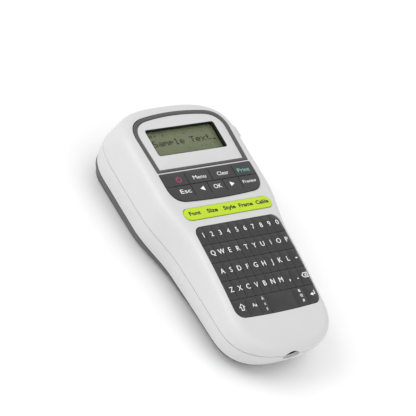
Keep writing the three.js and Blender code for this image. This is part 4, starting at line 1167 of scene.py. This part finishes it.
def panel_legends():
    upper, lower = 74.3, 64.6
    print_legend("legend_power", "key_power", "pink_ink", power_mark(-28.5, upper, 2.0))
    for body, text, x, y, capital, width, ink in (
        ("key_menu", "Menu", -9.5, upper, 3.0, 11.6, "white_ink"),
        ("key_clear", "Clear", 12.3, upper, 3.0, 10.4, "white_ink"),
        ("key_print", "Print", 31.9, upper, 3.0, 11.2, "teal_ink"),
        ("key_escape", "Esc", -28.0, lower, 3.3, 9.6, "white_ink"),
        ("key_ok", "OK", 1.6, lower, 3.3, 7.2, "white_ink"),
        ("key_preview", "Preview", 31.5, lower, 2.5, 12.3, "white_ink"),
    ):
        mark = word(text, x, y, capital, width)
        print_legend(body.replace("key", "legend"), body, ink, [mark])
    for side, x, direction in (("left", -12.6, -1), ("right", 15.4, 1)):
        arrow = triangle(x, lower, 1.9, direction)
        print_legend("legend_" + side, "key_" + side, "white_ink", [arrow])


def style_legends():
    words = (("Font", -31.1, 10.4), ("Size", -15.1, 9.8), ("Style", 0.75, 11.2), ("Frame", 16.1, 12.8),
             ("Cable", 31.5, 11.8))
    for body, (text, x, width) in zip(STYLE_KEYS, words):
        mark = word(text, x, 46.4, 2.9, width, 0.035)
        print_legend(body.replace("key", "legend"), body, "dark_ink", [mark])


def letter_legends():
    columns = [(i - (KEY_COLUMNS - 1) / 2) * 7.64 for i in range(KEY_COLUMNS)]
    rows = ("1234567890", "QWERTYUIOP", "ASDFGHJKL-", "ZXCVBNM,. ")
    for body, letters, y in zip(LETTER_ROWS, rows, (28.4, 14.0, -0.6, -15.05)):
        marks = [word(letter, x, y, 3.7) for letter, x in zip(letters, columns) if letter.isalnum()]
        signs = [pair for pair in zip(letters, columns) if pair[0] in ",.-"]
        marks += [word(sign, x, y, 3.7, weight=0.03) for sign, x in signs]
        if body == "key_row_lower":
            x = columns[-1]
            tag = [(-1.2, -1.7), (2.3, -1.7), (2.3, 1.7), (-1.2, 1.7), (-2.9, 0)]
            marks.append(stroke([(x + dx, y + dy) for dx, dy in tag], 0.5, closed=True))
            marks += [stroke([(x - 0.5, y - 0.9 * s), (x + 1.3, y + 0.9 * s)], 0.45) for s in (1, -1)]
        print_legend(body.replace("key_row", "legend"), body, "white_ink", marks)


def lowest_legends():
    y = -29.1
    arrow = ((-32.6, 2.4), (-30.4, 0.1), (-31.6, 0.1), (-31.6, -2.2), (-33.6, -2.2), (-33.6, 0.1),
             (-34.8, 0.1))
    shift = [(x, y + dy) for x, dy in arrow]
    enter = [(35.0, y + 1.8), (35.0, y - 0.8), (32.6, y - 0.8)]
    accents = (("Á", 3.4, 1.9), ("ä", -0.6, 2.1), ("ç", -4.0, 2.1))
    symbols = (("&", 3.6, 2.1), ("@", 0, 1.8), ("#", -3.8, 2.1))
    legends = (
        ("key_shift", [stroke(shift, 0.5, closed=True)]),
        ("key_case", [word("Aa", -21.3, y, 2.6)]),
        ("key_accent", [word(text, -12.0, y + dy, capital) for text, dy, capital in accents]),
        ("key_symbol", [word(text, 22.6, y + dy, capital) for text, dy, capital in symbols]),
        ("key_enter", [stroke(enter, 0.6), triangle(31.9, y - 0.8, 1.3, -1)]),
    )
    for body, marks in legends:
        print_legend(body.replace("key", "legend"), body, "white_ink", marks)


# ---------------------------------------------------------------- cutter lever and inlet

PAD = {"low": 104.4, "high": 117.6, "inner": 46.6, "z": (33.0, 51.2), "round": 3.0, "sunk": 0.6,
       "proud": 4.0}
LEVER_TOP = 40.0
LEVER_ARM = ((42, 90), (47.8, 90), (48.2, 113), (44.5, 122), (35, 133), (26.5, 133), (26.5, 130.8),
             (31, 130.5), (40.5, 119), (43.5, 110))


def upright(outline, low, high):
    """An outline in the plan of the back, hollow sides allowed, stood up between two heights."""
    count = len(outline)
    corners = [place(x, y, z) for z in (low, high) for x, y in outline]
    ends = [tuple(range(count)), tuple(range(count, 2 * count))]
    return new_object("tool", corners, between_loops(count, 2) + ends)


def cutter_lever():
    """The lever: a crowned pad with grip ribs, and the arm that carries the blade round to the tape."""
    edge, proud = HEAD_HALF_WIDTH - PAD["sunk"], PAD["proud"] + PAD["sunk"]
    middle = (PAD["low"] + PAD["high"]) / 2
    crown = bow((edge, PAD["low"]), (edge + 2 * proud, middle), (edge, PAD["high"]), 28)
    pad = upright([(PAD["inner"], PAD["low"])] + crown + [(PAD["inner"], PAD["high"])], *PAD["z"])
    ends = rounded_box(PAD["inner"] - 20, HEAD_HALF_WIDTH + PAD["proud"], *PAD["z"], PAD["round"])
    reach = (PAD["low"] - 10, PAD["high"] + 10)
    rounding = stack("tool", [[place(x, y, z) for x, z in ends] for y in reach])
    carve(pad, [rounding], "INTERSECT")
    ribs = [
        bar_tool(HEAD_HALF_WIDTH + PAD["proud"] + 0.3 - drop, middle + step, 0.7, 36.0, 47.8, 20)
        for step, drop in ((-2.4, 0.6), (0, 0), (2.4, 0.6))
    ]
    carve(pad, ribs)
    arm = upright(LEVER_ARM, PAD["z"][0], LEVER_TOP)
    hub = bar_tool(*LEVER_PIVOT, 4.4, PAD["z"][0], LEVER_TOP)
    carve(pad, [arm, hub], "UNION")
    carve(pad, [bar_tool(*LEVER_PIVOT, 2.3, PAD["z"][0] - 1, LEVER_TOP + 1)])
    pad.name = "cutter_lever_arm"
    pad.data.materials.clear()
    pad.data.materials.append(FINISHES["white_abs"])
    return belongs(pad, "cutter", ["cutter_lever"])


def power_inlet():
    face, depth = GRIP_WALL_Y + INLET["setback"], INLET["depth"]
    half, high = INLET["width"] / 2, INLET["height"] / 2
    middle = INLET["x"]
    outline = rounded_box(middle - half, middle + half, INLET["z"] - high, INLET["z"] + high, 1.0)
    loops = [[place(x, y, z) for x, z in outline] for y in (face, face + depth)]
    block = stack("power_inlet_socket", loops, FINISHES["black_abs"])
    radius, end = INLET["bore"], depth - 1.5
    bore = [(0, -1), (radius + 0.4, -1), (radius + 0.4, 0.2), (radius, 0.6), (radius, end), (0, end)]
    base = place(middle, face, INLET["z"])
    carve(block, [turned("tool", bore, base, ALONG, None)])
    belongs(block, "chassis", ["power_inlet"])
    pin = [(0, 0.6), (0.5, 0.6), (INLET["pin"], 1.0), (INLET["pin"], depth - 1.6), (0, depth - 1.6)]
    contact = turned("power_inlet_pin", pin, base, ALONG, FINISHES["nickel"], 32)
    belongs(contact, "chassis")


# ---------------------------------------------------------------- inside

def batteries():
    """AAA cells side by side, every second one turned end for end."""
    radius, length = BATTERY["radius"], BATTERY["length"]
    band = length * 0.62
    profile = [(0, 0), (radius - 1.2, 0), (radius - 0.5, 0.12), (radius, 0.6), (radius, 1.2), (radius, band)]
    profile += [(radius, length - 2.2), (radius - 0.25, length - 1.4), (radius - 1.0, length - 1.05)]
    profile += [(2.1, length - 1.0), (1.9, length - 0.9), (1.9, length - 0.15), (1.7, length), (0, length)]
    for i in range(BATTERY["count"]):
        x = (i - (BATTERY["count"] - 1) / 2) * BATTERY["pitch"]
        flipped = i % 2 == 0
        base = place(x, BATTERY["start"] + (length if not flipped else 0), BATTERY["z"])
        name = f"battery_{i + 1}"
        cell = turned(name + "_cell", profile, base, (0, 1 if flipped else -1, 0), FINISHES["sleeve"])
        for finish in ("sleeve_band", "nickel"):
            cell.data.materials.append(FINISHES[finish])
        for face in cell.data.polygons:
            along = (face.center - base).length / MM
            if along < 0.7 or along > length - 1.35:
                face.material_index = 2
            elif along > band:
                face.material_index = 1
        belongs(cell, "chassis", [name])


def screws():
    """Pan-head screws with a cross recess, seen from the back."""
    for i, (x, y, plate_low) in enumerate(SCREWS):
        seat = plate_low - GAP - 1.8
        head = [(0, 0), (1.6, 0), (2.35, 0.35), (2.6, 1.0), (2.6, 1.8), (1.3, 1.8)]
        thread = [(1.3 - 0.25 * (k % 2), 2.2 + 0.35 * k) for k in range(31)]
        node = f"housing_screw_{i + 1}"
        profile = head + thread + [(0, 13.8)]
        screw = turned(node + "_pan_head", profile, place(x, y, seat), UP, FINISHES["steel"], 24)
        arms = [
            box_tool((x - a, x + a), (y - b, y + b), (seat - 1, seat + 0.9))
            for a, b in ((1.5, 0.32), (0.32, 1.5))
        ]
        carve(screw, arms)
        belongs(screw, "chassis", [node])


def tape_cassette():
    """The cassette's shell, with a paper label on the side that faces the cover."""
    left, right, bottom, top = (CASSETTE[k] for k in ("left", "right", "bottom", "top"))
    low, high, wall = CASSETTE["low"], CASSETTE["high"], 1.2
    easing = ((0.5, 0), (0.15, 0.15), (0, 0.5))
    steps = [(d, low + rise) for d, rise in easing] + [(d, high - rise) for d, rise in reversed(easing)]
    loops = []
    for d, z in steps:
        outline = rounded_box(left + d, right - d, bottom + d, top - d, 1.5)
        loops.append([place(x, y, z) for x, y in outline])
    shell = stack("tape_cassette_shell", loops, FINISHES["smoke_ps"])
    tools = [
        box_tool((left + wall, right - wall), (bottom + wall, top - wall), (low + wall, high - wall)),
        box_tool((right - 3, right + 3), (109.5, top - wall), (low + wall, high - wall)),
        bar_tool(*RIBBON_SHAFT, 2.6, high - 4, high + 4),
    ]
    carve(shell, tools)
    belongs(shell, "cassette", ["tape_cassette"])
    sheet = rounded_box(left + 5, right - 12, bottom + 5, top - 5, 1.0)
    label = standing("tape_cassette_label", sheet, (low - 0.08, low + 0.02), FINISHES["label"])
    belongs(label, "cassette")


def roller(name, radius, shaft_high):
    """A rubber barrel and its shaft, turned as one upright piece."""
    low, high, soft, shaft, shaft_low = 7.2, 20.2, 0.3, 1.2, 5.0
    profile = [(0, shaft_low), (shaft, shaft_low), (shaft, low), (radius - soft, low), (radius, low + soft)]
    profile += [(radius, high - soft), (radius - soft, high), (shaft, high), (shaft, shaft_high)]
    profile.append((0, shaft_high))
    x, y = ROLLERS[name]
    obj = turned(name + "_rubber", profile, place(x, y, 0), UP, FINISHES["rubber"])
    return belongs(obj, name.replace("platen_roller", "platen"), [name])


def tape_drive():
    """Rollers, tape roll and motor as turned parts."""
    roller("platen_roller", 4.0, 29.2)
    roller("feed_roller", 2.9, 22.5)
    can = [(0, 5.0), (1.4, 5.0), (1.6, 5.6), (6.9, 5.6), (7.6, 6.2), (7.8, 7.0), (7.8, 21.6), (7.5, 22.2)]
    can += [(2.6, 22.2), (2.4, 22.4), (0, 22.4)]
    motor = turned("drive_motor_can", can, place(*MOTOR, 0), UP, FINISHES["steel"])
    belongs(motor, "chassis", ["drive_motor"])
    winding = [(0, 7.6), (18.2, 7.6), (18.5, 7.9), (18.5, 19.3), (18.2, 19.6), (0, 19.6)]
    roll = turned("tape_roll_wound", winding, place(*TAPE_ROLL, 0), UP, FINISHES["tape"], 72)
    carve(roll, [bar_tool(*TAPE_ROLL, 8.4, 6, 21)])
    belongs(roll, "tape_roll", ["tape_roll"])


def soften(node, width_mm=0.25):
    """Breaks the edges of a carried-over node."""
    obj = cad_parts[node]
    bevel = obj.modifiers.new("broken_edges", "BEVEL")
    bevel.width = width_mm * MM
    bevel.segments = 2
    bevel.limit_method = "ANGLE"
    bevel.angle_limit = math.radians(40)
    bevel.harden_normals = False


def carried_over():
    """The nodes whose shapes are kept get their finishes."""
    finishes = {
        "key_mat": "mat", "main_board": "board",
        "contact_plate_grip": "nickel", "contact_plate_head": "nickel",
        "cutter_spring": "steel", "motor_pinion": "brass", "idler_gear": "acetal", "platen_gear": "acetal",
        "ribbon_shaft": "acetal", "roller_arm": "steel", "print_head": "ceramic", "cutter_blade": "blade",
    }
    for node, finish in finishes.items():
        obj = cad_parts[node]
        obj.data.materials.clear()
        obj.data.materials.append(FINISHES[finish])
    soften("roller_arm", 0.15)
    soften("print_head", 0.15)
    soften("cutter_blade", 0.1)


# ---------------------------------------------------------------- camera, floor and light

VIEW = {"azimuth": -57.34, "elevation": 38.83, "roll": 34.6, "distance": 1705.5,
        "aim": (-3.7, 18.6, 37.7), "lens": 211.9}


def camera():
    turn, rise = math.radians(VIEW["azimuth"]), math.radians(VIEW["elevation"])
    back = Vector((math.sin(turn) * math.cos(rise), -math.cos(turn) * math.cos(rise), math.sin(rise)))
    data = bpy.data.cameras.new("camera")
    data.lens = VIEW["lens"]
    data.clip_start, data.clip_end = 0.05, 20
    obj = bpy.data.objects.new("camera", data)
    bpy.context.scene.collection.objects.link(obj)
    obj.rotation_mode = "QUATERNION"
    obj.location = Vector(VIEW["aim"]) * MM + back * VIEW["distance"] * MM
    roll = Quaternion(UP, math.radians(VIEW["roll"]))
    obj.rotation_quaternion = (-back).to_track_quat("-Z", "Y") @ roll
    bpy.context.scene.camera = obj


def floor():
    """A pale matt table top."""
    material, tree, principled, where = start_material("pale_table", 0.75)
    mottle = add_node(tree, NOISE, inputs={"Scale": 40.0, "Detail": 3.0}, links={"Vector": where})
    whites = {6: colour("#F6F6F6"), 7: colour("#F9F9F9")}
    share = {0: mottle.outputs["Fac"]}
    shade = add_node(tree, "ShaderNodeMix", {"data_type": "RGBA"}, whites, share)
    tree.links.new(shade.outputs[2], principled.inputs["Base Color"])
    half = 6.0
    corners = [(-half, -half, 0), (half, -half, 0), (half, half, 0), (-half, half, 0)]
    table = new_object("table_top", corners, [(0, 1, 2, 3)], material)


def softbox(name, position, power, size):
    """A square lamp that faces the object."""
    data = bpy.data.lights.new(name, "AREA")
    data.energy = power
    data.size = size
    obj = bpy.data.objects.new(name, data)
    bpy.context.scene.collection.objects.link(obj)
    obj.location = position
    obj.rotation_mode = "QUATERNION"
    obj.rotation_quaternion = (-Vector(position)).to_track_quat("-Z", "Y")


def lights():
    softbox("key_softbox", (-1.35, 0.55, 1.25), 15.0, 1.1)
    softbox("fill_softbox", (0.6, -1.3, 1.0), 4.5, 1.2)
    world = bpy.data.worlds.new("studio")
    world.use_nodes = True
    world.node_tree.nodes["Background"].inputs["Color"].default_value = (1, 1, 1, 1)
    world.node_tree.nodes["Background"].inputs["Strength"].default_value = 0.88
    bpy.context.scene.world = world
    bpy.context.scene.view_settings.view_transform = "Standard"


# ---------------------------------------------------------------- the whole

camera()
floor()
lights()
front_housing()
rear_housing()
back_cover()
display_ring()
display_panel()
window_sleeve()
lcd_gasket()
display_lens()
lcd_panel()
display_text()
panel_keys()
style_keys()
letter_keys()
panel_legends()
style_legends()
letter_legends()
lowest_legends()
cutter_lever()
power_inlet()
batteries()
screws()
tape_cassette()
tape_drive()
carried_over()
